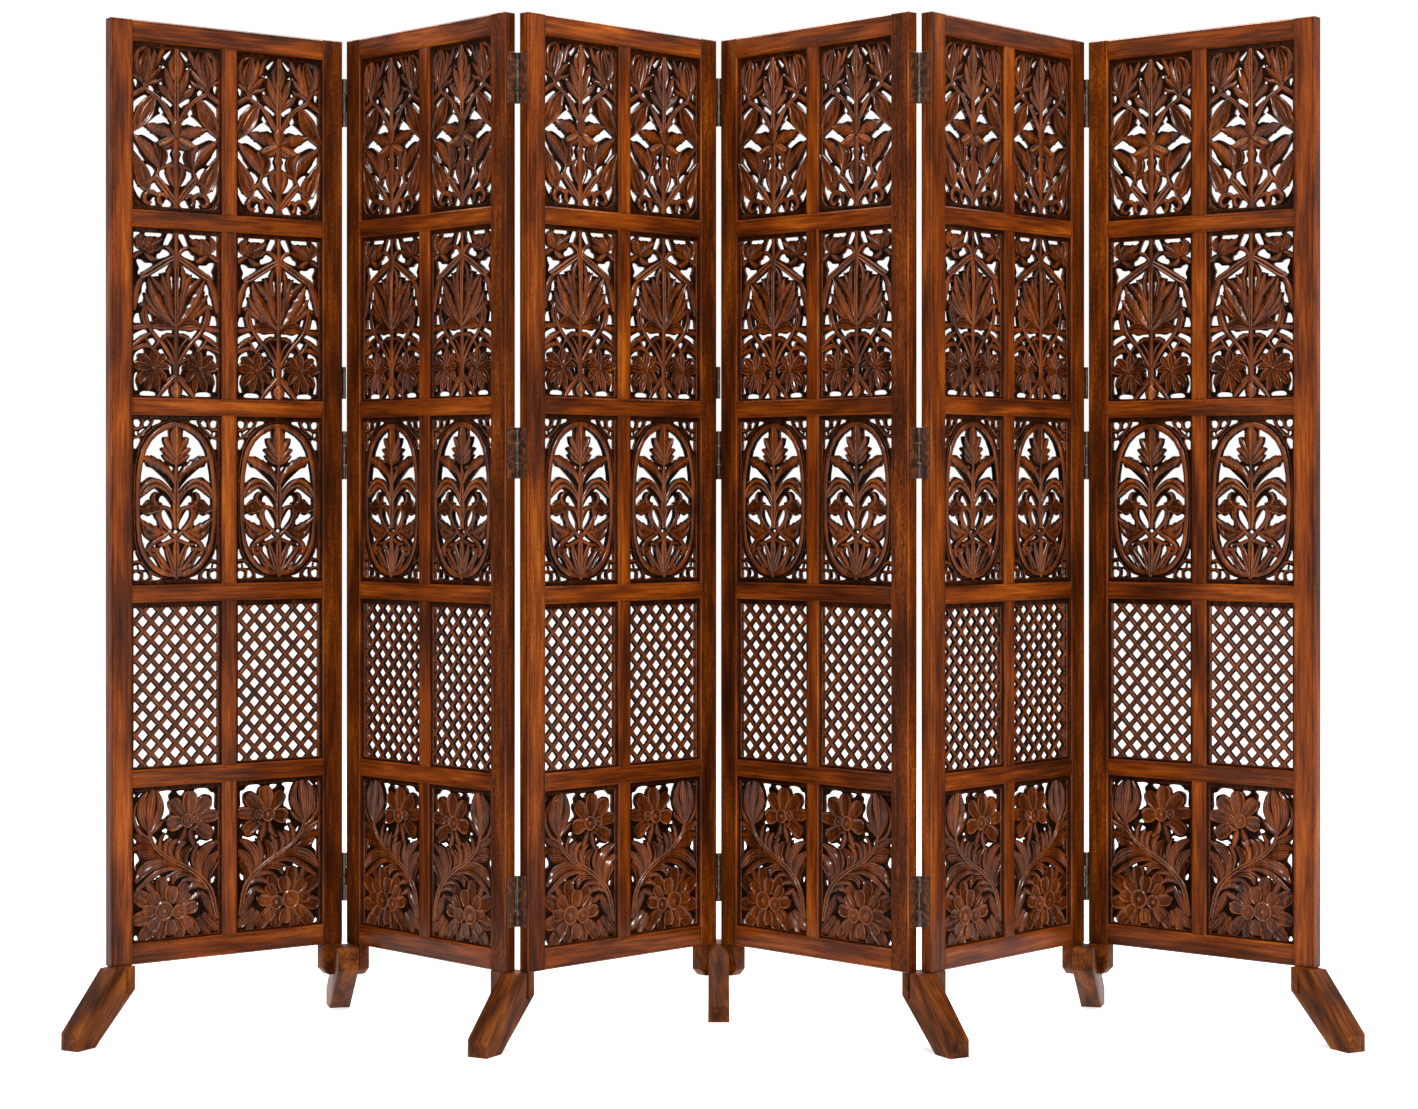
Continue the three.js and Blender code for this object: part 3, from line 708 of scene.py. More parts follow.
# %% The plant board's drawing
PLANT = {"height": 326, "border": (6, 9, 9), "corner": 26}
PLANT["holes"] = [
    "84,8 87,10 86,13 84,12",
    "11,12 25,24 25,26 23,29 18,24 13,17",
    "10,28 11,31 9,35 7,32",
    "86,43 83,37 85,33 88,41",
    "20,53 22,46 27,42 29,47",
    "31,43 34,44 36,48 40,51 35,51",
    "85,87 82,79 84,73 89,75 87,80",
    "32,73 34,76 34,80 30,83 29,77",
    "49,95 47,90 51,85 56,83 57,87 53,93",
    "28,103 28,109 17,115 12,120 8,117 10,113",
    "91,135 88,135 85,127 81,122 66,109 60,107 61,104 66,103 76,108 86,115 90,121",
    "59,157 53,158 51,153 42,155 33,153 24,151 16,154 12,151 29,138 27,134 28,126 30,123 "
    "33,123 36,130 32,136 42,142",
    "32,197 37,186 52,175 68,165 72,165 83,171 88,176 85,181 70,179 46,191 42,196 38,199",
    "22,231 18,231 7,224 11,213 7,204 13,201 20,200 23,203 19,215 20,223",
    "90,196 91,211 87,219 76,227 69,229 68,227 77,216 80,209",
    "87,241 86,235 90,234 91,240",
    "11,248 9,244 10,241 13,243",
    "61,237 62,240 56,248 50,261 45,262 42,255 46,247 52,241",
    "12,274 12,270 18,265 23,254 24,244 26,243 35,252 27,266",
    "88,263 90,268 89,280 82,295 75,302 74,296 68,289 71,284 79,283 82,280 83,272",
    "25,294 32,285 45,272 57,283 54,286 43,289 40,293 35,290",
    "56,314 43,314 44,310 41,303 44,301 48,301 53,308",
    "28,316 14,316 10,309 20,303 24,309",
]
PLANT["pairs"] = [
    # the band from the bud to the border, and the links between the parts
    "round 5.2 66,88,5 80,97,6 94,105,5",
    "round 5.2 71,79,3 82,69,4 94,65,3",
    "round 5.2 0,235,4 18,237,4 34,244,3",
    "round 5.2 46,264,5 56,269,5 66,274,5",
    "ridge 5.2 90,30,2 84,20,7 74,13,6 62,9,2",
    "ridge 5.2 42,46,2 37,31,6 31,17,6 25,9,2",
    "ridge 5.2 64,84,3 51,76,5 39,74,5 30,67,2",
    # the fan of petals at the top
    "flutes 5.8 4,113,3 16,99,8 28,89,8 38,80,2",
    "flutes 6.4 3,105,3 11,84,8 19,64,8 25,46,2",
    "ridge 6 3,72,2 9,54,6 11,37,6 7,22,2",
    # the tulip bud in the upper corner
    "ridge 5.6 67,80,2 55,67,8 43,57,7 32,46,2",
    "ridge 6.2 67,78,3 56,58,8 49,38,9 46,24,6 48,12,1.5",
    "ridge 6.2 71,78,3 82,58,8 86,40,9 84,24,7 78,12,1.5",
    "rim 7 69,78,3 69,58,10 66,38,12 62,22,8 60,8,1.5",
    "round 6 72,71,1.6 84,60,2.2 88,46,2.2 86,33,1",
    # its stem, down to the middle
    "groove 6.6 3,157,4 12,142,6 24,124,5 38,107,4 52,98,4 64,91,4 70,78,4",
    "ridge 6 5,152,3 15,133,5 24,118,4 30,110,1",
    # the broad hollow leaf
    "cup 6.2 46,102,5 55,115,12 65,133,18 77,151,15 88,166,8 94,176,2",
    "round 6 52,108,2 66,126,4 76,144,3 84,160,1",
    # the flower's side and lower petals
    "ridge 5.8 2,188,4 12,196,8 24,200,6 34,199,2",
    "ridge 6.4 2,180,4 18,172,11 36,168,13 52,164,9 66,160,2 x7",
    "bead 7.4 2,181,2 12,185,7 24,191,9 34,195,7 41,195,2",
    # the veined leaf and its lobe
    "rim 5.8 37,243,3 28,228,8 26,213,9 31,198,3",
    "ridge 5.8 38,240,3 37,221,9 41,205,8 48,192,2",
    "ridge 6.6 37,244,3 41,232,9 50,219,14 62,206,14 76,194,10 91,181,2",
    # the leaf beside the stem
    "ridge 6 4,278,3 11,261,7 15,246,8 9,232,4",
    # the stems that rise from the foot
    "groove 6.8 2,308,5 20,286,7.5 36,268,7.5 47,258,5",
    "round 6.2 45,263,5 40,252,4 37,241,4",
    # the outer leaf with its hollow
    "cup 6.2 61,287,5 66,273,15 73,255,17 82,235,11 94,211,2",
    "bead 6 66,270,3 71,256,5 78,240,2",
    # the scrolls
    "round 6.4 20,300,2.5 29,292,4.5 37,297,5.5 37,307,5.5 31,314,4",
    "round 6.8 36,300,2.5 46,291,5 59,290,5.5 67,298,5.5 67,308,5 59,313,4 54,308,3",
]
PLANT["middle"] = [
    "groove 7 0,158,5 0,110,6 0,60,5 0,7,4",
    "flutes 7.2 0,60,3 0,38,7 0,20,8 0,7,4",
    "round 8.6 0,149,6 0,154,12 0,162,14 0,171,10 0,184,1",
    "round 6.8 0,182,4 0,190,8 0,204,7 0,213,11 0,223,7 0,234,9 0,262,7 0,296,7 0,319,9",
]
print("plant board:", len(PLANT["holes"]), "openings")

# %% [markdown]
# In the second row a gable of two stems covers a palmette of pointed leaves, with a
# six-petalled flower in each lower corner.

# %% The gable board's drawing
GABLE = {"height": 330, "border": (6, 9, 4), "corner": 3}
GABLE["holes"] = [
    "31,10 62,8 64,11 65,14 51,17 46,14 37,16",
    "76,11 82,9 90,10 88,24 86,24 81,21",
    "25,33 18,32 7,15 8,10 14,9 18,12 25,28",
    "88,30 89,47 86,50 80,47 78,43 84,38 85,31",
    "13,49 26,41 34,49 39,51 40,56 36,58",
    "50,71 53,69 65,69 72,64 82,63 81,70 77,79 80,87 78,92 73,85 56,78",
    "53,94 44,92 30,90 28,84 22,83 14,68 17,67 22,69",
    "22,88 24,93 22,97 20,95",
    "8,124 6,100 10,93 11,95 9,104 10,120",
    "54,115 48,127 39,137 40,132",
    "79,146 71,144 68,133 60,132 65,121 59,116 64,107 67,107 71,115 72,125 78,138",
    "56,151 56,162 52,164 50,160",
    "61,154 64,162 62,165 57,160",
    "8,164 7,158 9,154 9,160",
    "25,163 29,158 35,158 38,160 34,164",
    "52,180 51,177 53,170 57,168 62,170 65,174 61,181",
    "70,184 75,176 75,169 84,168 88,177 88,184 78,184",
    "5,198 13,197 31,201 42,197 48,198 50,200 41,209 32,213 27,208 19,204 8,204",
    "89,218 78,211 59,208 58,206 64,199 71,200 88,208",
    "39,223 50,215 62,222 50,231",
    "14,225 14,228 10,232 7,230 10,226",
    "12,254 25,235 31,236 36,239 28,247 27,251 14,256",
    "88,259 83,255 75,245 68,243 69,237 73,237 84,243 88,251",
    "8,283 7,277 9,271 14,266 20,263 13,275 12,280",
    "20,291 22,286 29,283 24,290",
    "46,291 45,286 48,284 49,287",
    "82,315 81,313 86,297 83,288 82,282 86,284 88,293 87,313",
    "44,309 44,306 47,305 47,309",
    "30,325 14,325 16,315 7,305 8,301 12,300 18,305 24,316",
    "76,323 70,325 46,326 43,324 46,320 61,318 71,319",
]
GABLE["pairs"] = [
    # bands under the leaves
    "round 5.2 54,188,4 72,193,6 94,195,5",
    "round 5.4 0,193,4 26,194,4 52,191,4",
    "round 5.2 68,92,6 80,113,8 86,136,8 90,160,6",
    # the leafy flower in the corner
    "ridge 5.4 70,47,3 80,51,6 88,57,5 94,58,2",
    "flutes 6 68,45,2 54,32,7 40,24,7 28,18,2 x4",
    "flutes 6 68,47,2 54,42,7 40,38,6 27,34,2 x4",
    "ridge 5.8 68,49,2 59,55,7 50,60,6 40,60,2 x3",
    "cup 6.4 68,43,3 65,31,8 58,22,7 50,18,2",
    "cup 6.4 70,43,3 77,33,9 79,22,7 72,13,3",
    "bead 7.4 66,42,1 69,43,3 72,44,1",
    # the gable
    "groove 6.8 4,55,5 24,66,7 44,78,7 62,89,7 78,97,5",
    "round 6.8 2,62,3 6,48,4 13,39,4.5 25,34,3",
    # the palmette's side leaf, its inner and outer lobes
    "ridge 5.6 12,122,3 17,98,6 14,80,5 9,66,1 x3",
    "ridge 5.6 14,142,3 29,118,9 43,104,7 54,95,2 x4",
    "ridge 6 4,176,3 13,150,10 19,122,11 26,100,7 33,87,1 x5",
    "ridge 5.4 30,172,3 50,152,8 60,137,7 68,126,1 x3",
    "ridge 5.4 34,174,3 54,160,7 68,150,7 79,152,2 x3",
    "ridge 6.8 4,189,3 22,168,10 40,142,12 52,119,9 61,95,1 x5",
    "rim 6.4 4,191,3 20,184,8 36,181,9 48,186,5 57,192,1",
    # the side stem that crosses to the middle, and its leaf
    "ridge 5.8 64,192,3 69,177,6 70,162,6 65,149,2 x3",
    "round 7 66,156,3 63,176,4 56,194,4.5 44,210,4.5 28,226,4.5 14,246,4.5 3,264,4",
    "round 5.8 55,205,3 70,213,5 84,223,5 94,232,3",
    "round 5.8 44,238,3 56,230,4 70,229,5 94,238,4",
    "round 6.2 34,213,3 42,226,3 50,236,3",
    "round 6.2 66,213,3 58,226,3 50,236,3",
    "ridge 5.4 3,209,3 14,207,5 24,211,5 31,217,2 x4",
    "round 6 2,264,3 5,242,3 13,225,3 24,213,2",
    # the six-petalled flower
    "rim 6.5 49,270,3 36,258,8 29,250,8 25,244,3",
    "rim 6.9 50,270,3 48,256,10 47,245,10 46,236,4",
    "rim 6.5 51,270,3 64,258,10 73,251,9 79,246,3",
    "rim 6.9 51,272,3 66,270,9 80,268,10 91,267,4",
    "rim 6.5 51,274,3 64,284,10 74,293,10 80,303,4",
    "rim 6.9 50,275,3 56,292,8 60,306,9 62,317,3",
    "rim 6.5 49,275,3 42,290,7 40,304,7 40,318,2",
    "rim 6.7 48,274,3 36,280,8 28,288,8 22,298,2",
    "rim 6.9 48,272,3 36,268,7 24,268,8 16,272,2",
    "bead 8 46,272,1 50,272,4.5 54,272,1",
    # the two stems that spread from the foot
    "round 6.2 2,286,4 15,301,6 29,315,6 40,330,4",
    "round 5.6 4,264,4 16,257,3 30,251,2",
    "round 5.4 6,286,3 14,292,3 22,298,3",
]
GABLE["middle"] = [
    "round 6.6 0,7,5 0,30,5 0,54,6 0,66,9 0,78,7",
    "groove 7.4 0,74,6 0,120,5 0,190,5",
    "round 6.8 0,186,6 0,225,6 0,262,8 0,290,7 0,306,7",
    "bead 7.6 0,301,4 0,308,12 0,316,14 0,324,11 0,329,5",
]
print("gable board:", len(GABLE["holes"]), "openings")

# %% [markdown]
# The third row has a tall oval ring round a plant, and small fretwork in the corners.

# %% The oval board's drawing
OVAL = {"height": 330, "border": (6, 9, 9), "corner": 3}
OVAL["holes"] = [
    "31,11 46,10 51,18 44,19",
    "88,11 86,21 74,21 78,11",
    "55,15 58,11 62,11 69,18 64,21 57,18",
    "61,29 64,27 70,28 78,33 74,38 69,39",
    "81,38 82,33 86,33 85,38",
    "88,64 82,62 76,50 78,46 83,45 89,51",
    "19,28 35,34 54,48 65,64 70,78 54,80 53,77 47,79 37,84 24,89 26,76 31,69 24,60 26,46 "
    "17,42 17,31",
    "8,114 6,110 5,106 7,102 12,100 15,103",
    "5,153 9,144 22,128 38,114 51,104 62,101 67,93 71,96 75,112 74,129 66,125 56,119 "
    "38,123 26,132 14,146 7,153",
    "74,174 71,174 60,163 51,163 48,154 38,151 39,148 46,143 49,143 58,152 75,161 76,170",
    "10,180 14,172 24,160 30,158 34,162 34,168 24,176",
    "8,220 9,210 18,194 24,186 28,187 31,191 27,204 13,220",
    "74,198 64,209 49,215 42,216 38,207 45,203 50,194 59,198 69,194",
    "-1,230 -4,228 0,224 4,228",
    "8,241 11,235 17,230 20,230 31,241 25,248 18,243",
    "74,219 72,243 64,260 62,258 58,252 51,247 62,240 63,233 72,227",
    "44,257 43,247 47,246 47,252",
    "14,288 28,259 32,259 38,265 33,273 23,285 18,288",
    "88,264 89,279 88,282 84,282 77,277 83,268",
    "31,298 33,289 44,277 55,278 50,286 36,297",
    "62,298 69,289 74,289 79,293 76,299",
    "84,300 80,296 84,292 90,296",
    "58,315 64,306 71,310 67,319",
    "88,319 80,320 75,312 80,308 85,307 89,310",
    "32,318 46,310 50,312 51,318 46,320",
]
OVAL["pairs"] = [
    # the fretwork in the corners
    "bead 5 48,6,2.5 56,22,2.5 80,42,2.5 94,44,2.5",
    "bead 5 70,6,3 74,24,3 94,27,3",
    "bead 5 52,324,2.5 56,306,2.5 76,286,2.5 94,286,2.5",
    "bead 5 73,324,2.5 73,304,2.5 94,302,2.5",
    # the oval ring and the thin line outside it
    "round 5.6 0,9,1.5 34,16,2 58,33,2 76,58,2 86,92,2 89,130,2 89,200,2 87,246,2 78,276,2 "
    "62,299,2 42,312,2 20,318,1.5",
    "round 7.2 0,17,5 16,20,6.5 34,28,6.5 52,41,6 67,63,6 76,90,6 81,124,5.5 82,160,5.5 "
    "82,200,5.5 78,242,5.5 70,267,6 57,287,6 40,302,6 20,310,6 2,312,4",
    # the oak-like leaf at the top: its side lobes
    "ridge 6 3,95,2 12,89,5 21,83,5 28,77,2",
    "ridge 6.3 3,91,2 13,77,7 25,67,6 31,66,2",
    "ridge 6.6 3,84,2 11,64,8 21,50,7 24,42,3",
    # the long leaf that points up and out, and the one that arches over
    "ridge 6.6 4,132,3 13,114,7 31,100,10 50,91,11 63,85,7 74,82,2 x6",
    "groove 6.9 4,168,4 14,151,6 28,138,8 44,132,10 60,138,11 71,149,9 79,162,2",
    # the frilled flower at the side, on its branch
    "round 6.2 3,206,4 11,186,4 22,180,4 36,178,4",
    "round 6.2 32,176,4 35,195,4 28,212,5 14,226,4 4,236,5",
    "ridge 5.8 34,178,3 46,169,5 48,158,5 41,150,2 x3",
    "rim 6 30,174,3 44,172,6 58,173,6 76,184,2",
    "rim 6.6 32,180,3 46,184,6 62,186,7 79,183,2 x4",
    "ridge 5.8 31,224,3 34,206,6 40,195,5 40,184,2 x3",
    # the leaf below it
    "ridge 6.4 22,228,3 38,226,8 56,219,9 70,209,5 80,200,2 x5",
    "ridge 5.8 30,228,3 44,234,8 58,235,8 68,223,4 72,214,2 x4",
    # the arch over the palmette and its scroll
    "round 6.4 0,242,4 14,247,4 26,252,4 38,252,3",
    "round 7 12,225,3 26,236,4.5 40,243,5 51,250,5 57,261,5.5 53,272,4.5 45,271,3",
    "round 6.2 36,262,4 46,262,5 62,262,4 68,262,2",
    # the palmette at the foot
    "ridge 5.8 4,309,2 14,300,5 24,297,5 33,291,2 x3",
    "ridge 6.2 3,312,2 20,294,5 34,277,6 42,265,4 x3",
    "ridge 6 10,312,3 28,300,3 44,276,3 56,272,2",
    "groove 6.4 2,312,2 9,288,7 17,266,6 22,250,2",
]
OVAL["middle"] = [
    "ridge 7.4 0,94,5 0,74,11 0,52,14 0,35,14 0,16,3",
    "round 6.6 0,92,4 0,104,4 0,113,6 0,126,4",
    "groove 6.8 0,120,4 0,150,7 0,184,9 0,206,7 0,221,6",
    "round 6 0,231,6 0,242,6",
    "groove 6.9 0,319,4 0,300,5 0,276,7 0,256,7 0,243,3",
]
print("oval board:", len(OVAL["holes"]), "openings")

# %% [markdown]
# The lowest row has two large flowers and a tulip bud on a sweeping stem. This board has
# no halves that match, so all of it is drawn.

# %% The blossom board's drawing
BLOSSOM = {"height": 301, "border": (6, 9, 4), "corner": 3}
BLOSSOM["holes"] = [
    "3,14 16,13 18,15 12,21",
    "-90,18 -89,15 -86,15 -87,18",
    "41,13 66,12 76,20 83,22 84,29 83,48 85,54 75,52 79,45 78,27 62,21 46,27",
    "-78,75 -82,69 -86,52 -85,28 -73,13 -66,12 -75,30 -82,48 -83,60",
    "-32,68 -31,62 -25,53 -24,44 -30,34 -36,15 -31,12 -10,12 -16,20 -14,33 -16,44 -13,55 "
    "-18,58 -26,65",
    "-28,88 -18,86 -21,97 -15,101 -22,107 -34,104 -26,98",
    "-52,100 -48,99 -40,108 -35,122 -38,123 -48,111",
    "82,96 79,91 81,88 84,91",
    "-86,109 -88,104 -89,95 -81,98 -83,104",
    "44,108 43,104 46,102 48,106",
    "18,104 17,107 14,107 15,104",
    "45,119 53,113 67,116 78,112 77,118 64,122 55,122",
    "-8,130 -8,123 -5,120 -4,126",
    "-74,120 -68,122 -62,134 -69,137 -70,128",
    "-1,135 2,141 1,145 -3,144 -4,139",
    "-86,161 -87,132 -84,130 -78,142 -85,150",
    "34,168 32,166 33,163 29,156 33,141 38,135 40,139 38,150",
    "-31,166 -26,161 -20,161 -17,163 -20,166",
    "-46,181 -44,178 -38,174 -34,176 -36,181",
    "-14,187 -19,181 -16,178 -13,180",
    "-53,198 -56,193 -54,186 -48,187 -52,191",
    "84,186 82,196 71,197 72,188 78,191",
    "8,197 10,194 15,193 23,198 24,206 17,198",
    "-45,215 -47,212 -46,209 -43,211",
    "32,224 22,221 23,214 26,215",
    "82,257 77,249 82,244 84,249",
    "43,244 44,236 47,235 48,239",
    "-49,281 -47,288 -44,291 -48,294 -50,286",
    "-88,294 -86,288 -80,293 -82,296",
    "36,285 35,281 40,277 39,283",
]
BLOSSOM["shapes"] = [
    # leaves under the stem, at the left
    "flutes 5.4 -50,117,3 -63,106,8 -77,100,8 -92,90,2",
    "flutes 5.6 -46,125,3 -64,119,7 -80,117,7 -94,119,3",
    "flutes 5.6 -32,142,3 -52,134,8 -68,132,9 -84,124,2",
    "round 5.4 12,166,3 -14,163,5 -38,168,7 -60,182,7 -84,200,4",
    "flutes 6.6 6,160,3 -24,150,8 -50,153,12 -71,164,12 -88,184,4",
    # fronds over the stem
    "ridge 5.8 -28,134,3 -34,120,6 -32,104,6 -24,92,2 x3",
    "ridge 6 -14,146,3 -22,130,7 -20,114,7 -10,104,2 x3",
    "ridge 6.2 0,153,3 -11,136,7 -9,118,8 2,106,2 x3",
    "ridge 6.2 16,160,3 5,142,8 8,124,8 20,112,2 x3",
    "rim 6.4 30,168,3 17,152,8 20,134,8 34,121,2",
    "ridge 5.8 44,174,3 36,152,5 40,134,6 48,118,2",
    "flutes 6.4 54,190,3 48,162,9 57,139,12 74,124,8 90,116,2",
    "flutes 6 62,196,3 64,172,9 75,152,11 92,138,4",
    "rim 5.8 72,202,3 70,184,7 76,170,8 88,158,4",
    # the main stem
    "groove 7.2 88,268,4 83,244,6 76,216,7 60,192,6.5 40,174,6 14,158,5.5 -12,145,5 "
    "-36,128,5 -52,108,4.5 -58,86,4",
    # the tulip bud
    "round 6 -58,100,3 -78,86,5 -89,64,3.5 -88,40,2.5 -78,20,1.5",
    "ridge 5.8 -56,94,3 -46,85,5 -36,77,6 -26,66,2",
    "flutes 6.2 -60,90,3 -71,66,9 -75,44,9 -71,24,7 -62,9,2",
    "flutes 6.4 -56,90,3 -44,68,9 -34,48,9 -35,28,7 -42,9,3",
    "flutes 7.2 -58,88,3 -58,60,9 -55,32,12 -50,7,5",
    # the upper flower
    "ridge 5.8 20,86,3 17,100,8 10,112,7 2,116,2",
    "ridge 5.8 30,88,3 33,102,8 37,114,7 40,126,2",
    "cup 5.8 40,80,78,104,15",
    "cup 6.0 38,68,92,64,13",
    "cup 6.3 34,62,72,31,16",
    "cup 6.1 16,62,-10,28,15",
    "cup 6.7 27,60,31,14,17",
    "cup 6.9 14,72,-20,77,16",
    "round 7 30,88,3 40,88,5 48,81,3",
    # the lower flower: small leaves behind it, then petals from back to front
    "ridge 5.6 -22,180,3 -4,172,4 10,168,4 30,172,2",
    "groove 6.2 -8,194,2 -4,182,6 10,176,5 34,178,2",
    "ridge 5.8 64,198,2 44,188,7 26,186,6 8,192,2 x3",
    "ridge 5.8 72,212,2 52,200,7 36,200,7 22,210,2 x3",
    "ridge 5.6 72,228,2 54,216,6 40,222,7 30,228,2",
    "flutes 6 82,268,3 72,246,9 62,230,9 54,212,3",
    "flutes 5.6 46,262,70,299,11",
    "flutes 5.8 56,256,91,290,12",
    "ridge 5.4 -36,226,-64,182,11",
    "cup 5.6 -42,236,-90,206,16",
    "cup 5.8 -42,250,-92,258,15",
    "cup 5.6 -38,260,-76,297,15",
    "cup 5.4 -26,264,-38,300,13",
    "cup 5.6 2,262,8,300,14",
    "cup 5.8 16,256,46,296,14",
    "cup 5.7 -26,226,-32,178,14",
    "cup 5.9 0,232,20,192,14",
    "cup 6.8 -36,232,-58,208,14",
    "cup 6.6 -42,244,-72,240,13",
    "cup 6.9 -38,258,-58,280,13",
    "cup 7.1 -14,262,-11,292,14",
    "cup 6.8 10,258,31,281,13",
    "cup 7.0 14,246,45,239,13",
    "cup 6.6 6,236,26,212,12",
    "cup 7.3 -14,230,-9,197,15",
]
BLOSSOM["bosses"] = [(24, 71, 15, 8.4), (46, 69, 10.5, 8.2), (-27, 244, 20, 8.3),
                     (6, 248, 15.5, 8.1)]
print("blossom board:", len(BLOSSOM["holes"]), "openings")

# %% [markdown]
# A board is built in layers: a thin plank with the openings, a raised border round it,
# and the blades on both of its faces. A symmetric board is drawn for its right half and
# its middle, and the left half is its mirror image.

# %% Build one board from its table
HALF_BOARD = OPENING_WIDTH / 2
# the plank behind the blades and the raised border get low relief, so their colour is painted
# nearly black: painted shade behind the carving, and the painted shadow that the rails cast on the
# border; their bevelled edges are less dark
GROUND_THICK, GROUND_BEVEL, GROUND_SHADE_RELIEF, GROUND_MARGIN = 6.4, 0.9, (0.12, 0.4), 2
BORDER_THICK, BORDER_BEVEL, BORDER_SHADOW_RELIEF, FIT = 11.4, 1.4, (0.18, 0.5), 0.5
SHARP_CORNER = (0.01, 1)  # its radius and steps


def opening(line, grow=0.9):
    points = np.array(read_spots(line.split()))
    length = np.hypot(*(np.roll(points, -1, axis=0) - points).T).sum()
    curve = smooth_curve(points, int(np.clip(length / 3.2, 10, 60)), closed=True)
    return curve + outward(curve) * grow


def raised_border(pile, height, widths, corner, steps=6):
    """widths: the border's own at the sides, the top and the bottom."""
    side, top, bottom = widths
    inner = rounded(side - HALF_BOARD, top, HALF_BOARD - side, height - bottom, corner, steps)
    outer = rounded(-HALF_BOARD - FIT, -FIT, HALF_BOARD + FIT, height + FIT, *SHARP_CORNER)
    plank(pile, outer, [inner], BORDER_THICK, BORDER_BEVEL, BORDER_SHADOW_RELIEF)


def build_board(design):
    height = design["height"]
    whole, half = Pile(), Pile()
    raised_border(whole, height, design["border"], design["corner"])
    holes = [opening(line) for line in design["holes"]]
    if "pairs" in design:
        right_half = [hole for hole in holes if hole[:, 0].min() > 0.5]
        holes += [hole * (-1, 1) for hole in right_half]
    edge = HALF_BOARD - GROUND_MARGIN
    outer = rounded(-edge, GROUND_MARGIN, edge, height - GROUND_MARGIN, *SHARP_CORNER)
    plank(whole, outer, holes, GROUND_THICK, GROUND_BEVEL, GROUND_SHADE_RELIEF)
    for key, pile in (("pairs", half), ("middle", whole), ("shapes", whole)):
        for line in design.get(key, []):
            blade(pile, *read_blade(line))
    for x, down, radius, level in design.get("bosses", []):
        boss(whole, x, down, radius, level)
    if half.count:
        whole.take(half)
        whole.take(half.mirrored())
    return whole


boards = {name: build_board(design) for name, design in (
    ("plant", PLANT), ("gable", GABLE), ("oval", OVAL), ("blossom", BLOSSOM))}
for name, board in boards.items():
    print(name, "board:", board.count, "corners,", len(board.faces), "faces")


# %% [markdown]
# Two of each board stand side by side in every row. The blossom board of the right
# column is the left one turned about, as on the real screen. All boards are set in the
# middle of the frame's thickness.

# %% Set the carved boards in their openings
BOARD_MIDDLES = (UPRIGHT_WIDTH + HALF_BOARD, PANEL_WIDTH - UPRIGHT_WIDTH - HALF_BOARD)


def set_in_panel(k, row, name, board):
    both = Pile()
    for column, x in enumerate(BOARD_MIDDLES):
        one = board.mirrored() if name == "blossom" and column else board
        both.take(one, (x, PANEL_THICK / 2, row_tops[row]),
                  random_spot(f"{name} {k} {column}", 900))
    make_piece(f"panel_{k}_{name}_boards", both, places[k], carved_finish, f"panel_{k}",
               [f"panel_{k}_carved_grille"], 50)


for k in PANELS:
    for row, name in ((0, "plant"), (1, "gable"), (2, "oval"), (4, "blossom")):
        set_in_panel(k, row, name, boards[name])
print("carved boards set:", 8 * len(PANELS))

# %% [markdown]
# The fourth row is a lattice of slats on both diagonals. All of its slats are one slat
# repeated, so Geometry Nodes lays them: a line of points, one to a slat, a little
# arithmetic to clip each slat to the opening, and the slat placed, turned and stretched
# on its point. Slats with even numbers lean one way and those with odd numbers the other.

# %% One slat, a unit long
SLAT_WIDTH, SLAT_THICK = 9.2, 9.0
slat_section = [(-1, -0.5), (-0.72, -0.86), (-0.3, -1), (0.3, -1), (0.72, -0.86), (1, -0.5),
                (1, 0.5), (0.72, 0.86), (0.3, 1), (-0.3, 1), (-0.72, 0.86), (-1, 0.5)]
sides = len(slat_section)
slat_points = [(x, y * SLAT_THICK / 2 * MM, z * SLAT_WIDTH / 2 * MM)
               for x in (-0.5, 0.5) for z, y in slat_section]
slat_faces = [(k, (k + 1) % sides, sides + (k + 1) % sides, sides + k) for k in range(sides)]
slat_faces += [tuple(range(sides))[::-1], tuple(range(sides, 2 * sides))]
one_slat = new_object("one slat", slat_points, slat_faces)
# the edges of each slat get low relief, so their colour is painted dark as shade along the slat's
# sides; the middle of its face stays plain
slat_shade_relief = [0.02 + 1.4 * (abs(y) - 0.5) ** 1.5 for z, y in slat_section]
layer = one_slat.data.attributes.new("relief", "FLOAT", "POINT")
layer.data.foreach_set("value", 2 * slat_shade_relief)
print("one slat:", len(slat_points), "corners")

# %% [markdown]
# A tree of Geometry Nodes starts with its named inputs, such as the number of slats, and
# ends with real geometry and its finish. Blender knows an input by an identifier of its
# own, so these are kept under the names.

# %% How every tree starts and ends
def new_tree(name, **kinds):
    """An empty tree, the identifiers of its inputs by name, and the inputs' outputs."""
    tree = bpy.data.node_groups.new(name, "GeometryNodeTree")
    tree.interface.new_socket("Geometry", in_out="OUTPUT", socket_type="NodeSocketGeometry")
    keys = {}
    for socket, kind in {"Geometry": "Geometry", **kinds, "Finish": "Material"}.items():
        item = tree.interface.new_socket(socket, in_out="INPUT", socket_type=f"NodeSocket{kind}")
        keys[socket] = item.identifier
    return tree, keys, add_node(tree, "NodeGroupInput", output=None)


def end_tree(tree, geometry, material):
    done = add_node(tree, "GeometryNodeSetMaterial", {"Geometry": geometry, "Material": material})
    tree.links.new(done, tree.nodes.new("NodeGroupOutput").inputs["Geometry"])


STORE, READ = "GeometryNodeStoreNamedAttribute", "GeometryNodeInputNamedAttribute"
JOIN_XYZ, SPLIT_XYZ = "ShaderNodeCombineXYZ", "ShaderNodeSeparateXYZ"
LINE, ON_POINTS = "GeometryNodeMeshLine", "GeometryNodeInstanceOnPoints"
REAL, PICK = "GeometryNodeRealizeInstances", "GeometryNodeObjectInfo"
print("kinds of node that both trees use:", LINE, ON_POINTS, REAL, PICK, sep="\n  ")

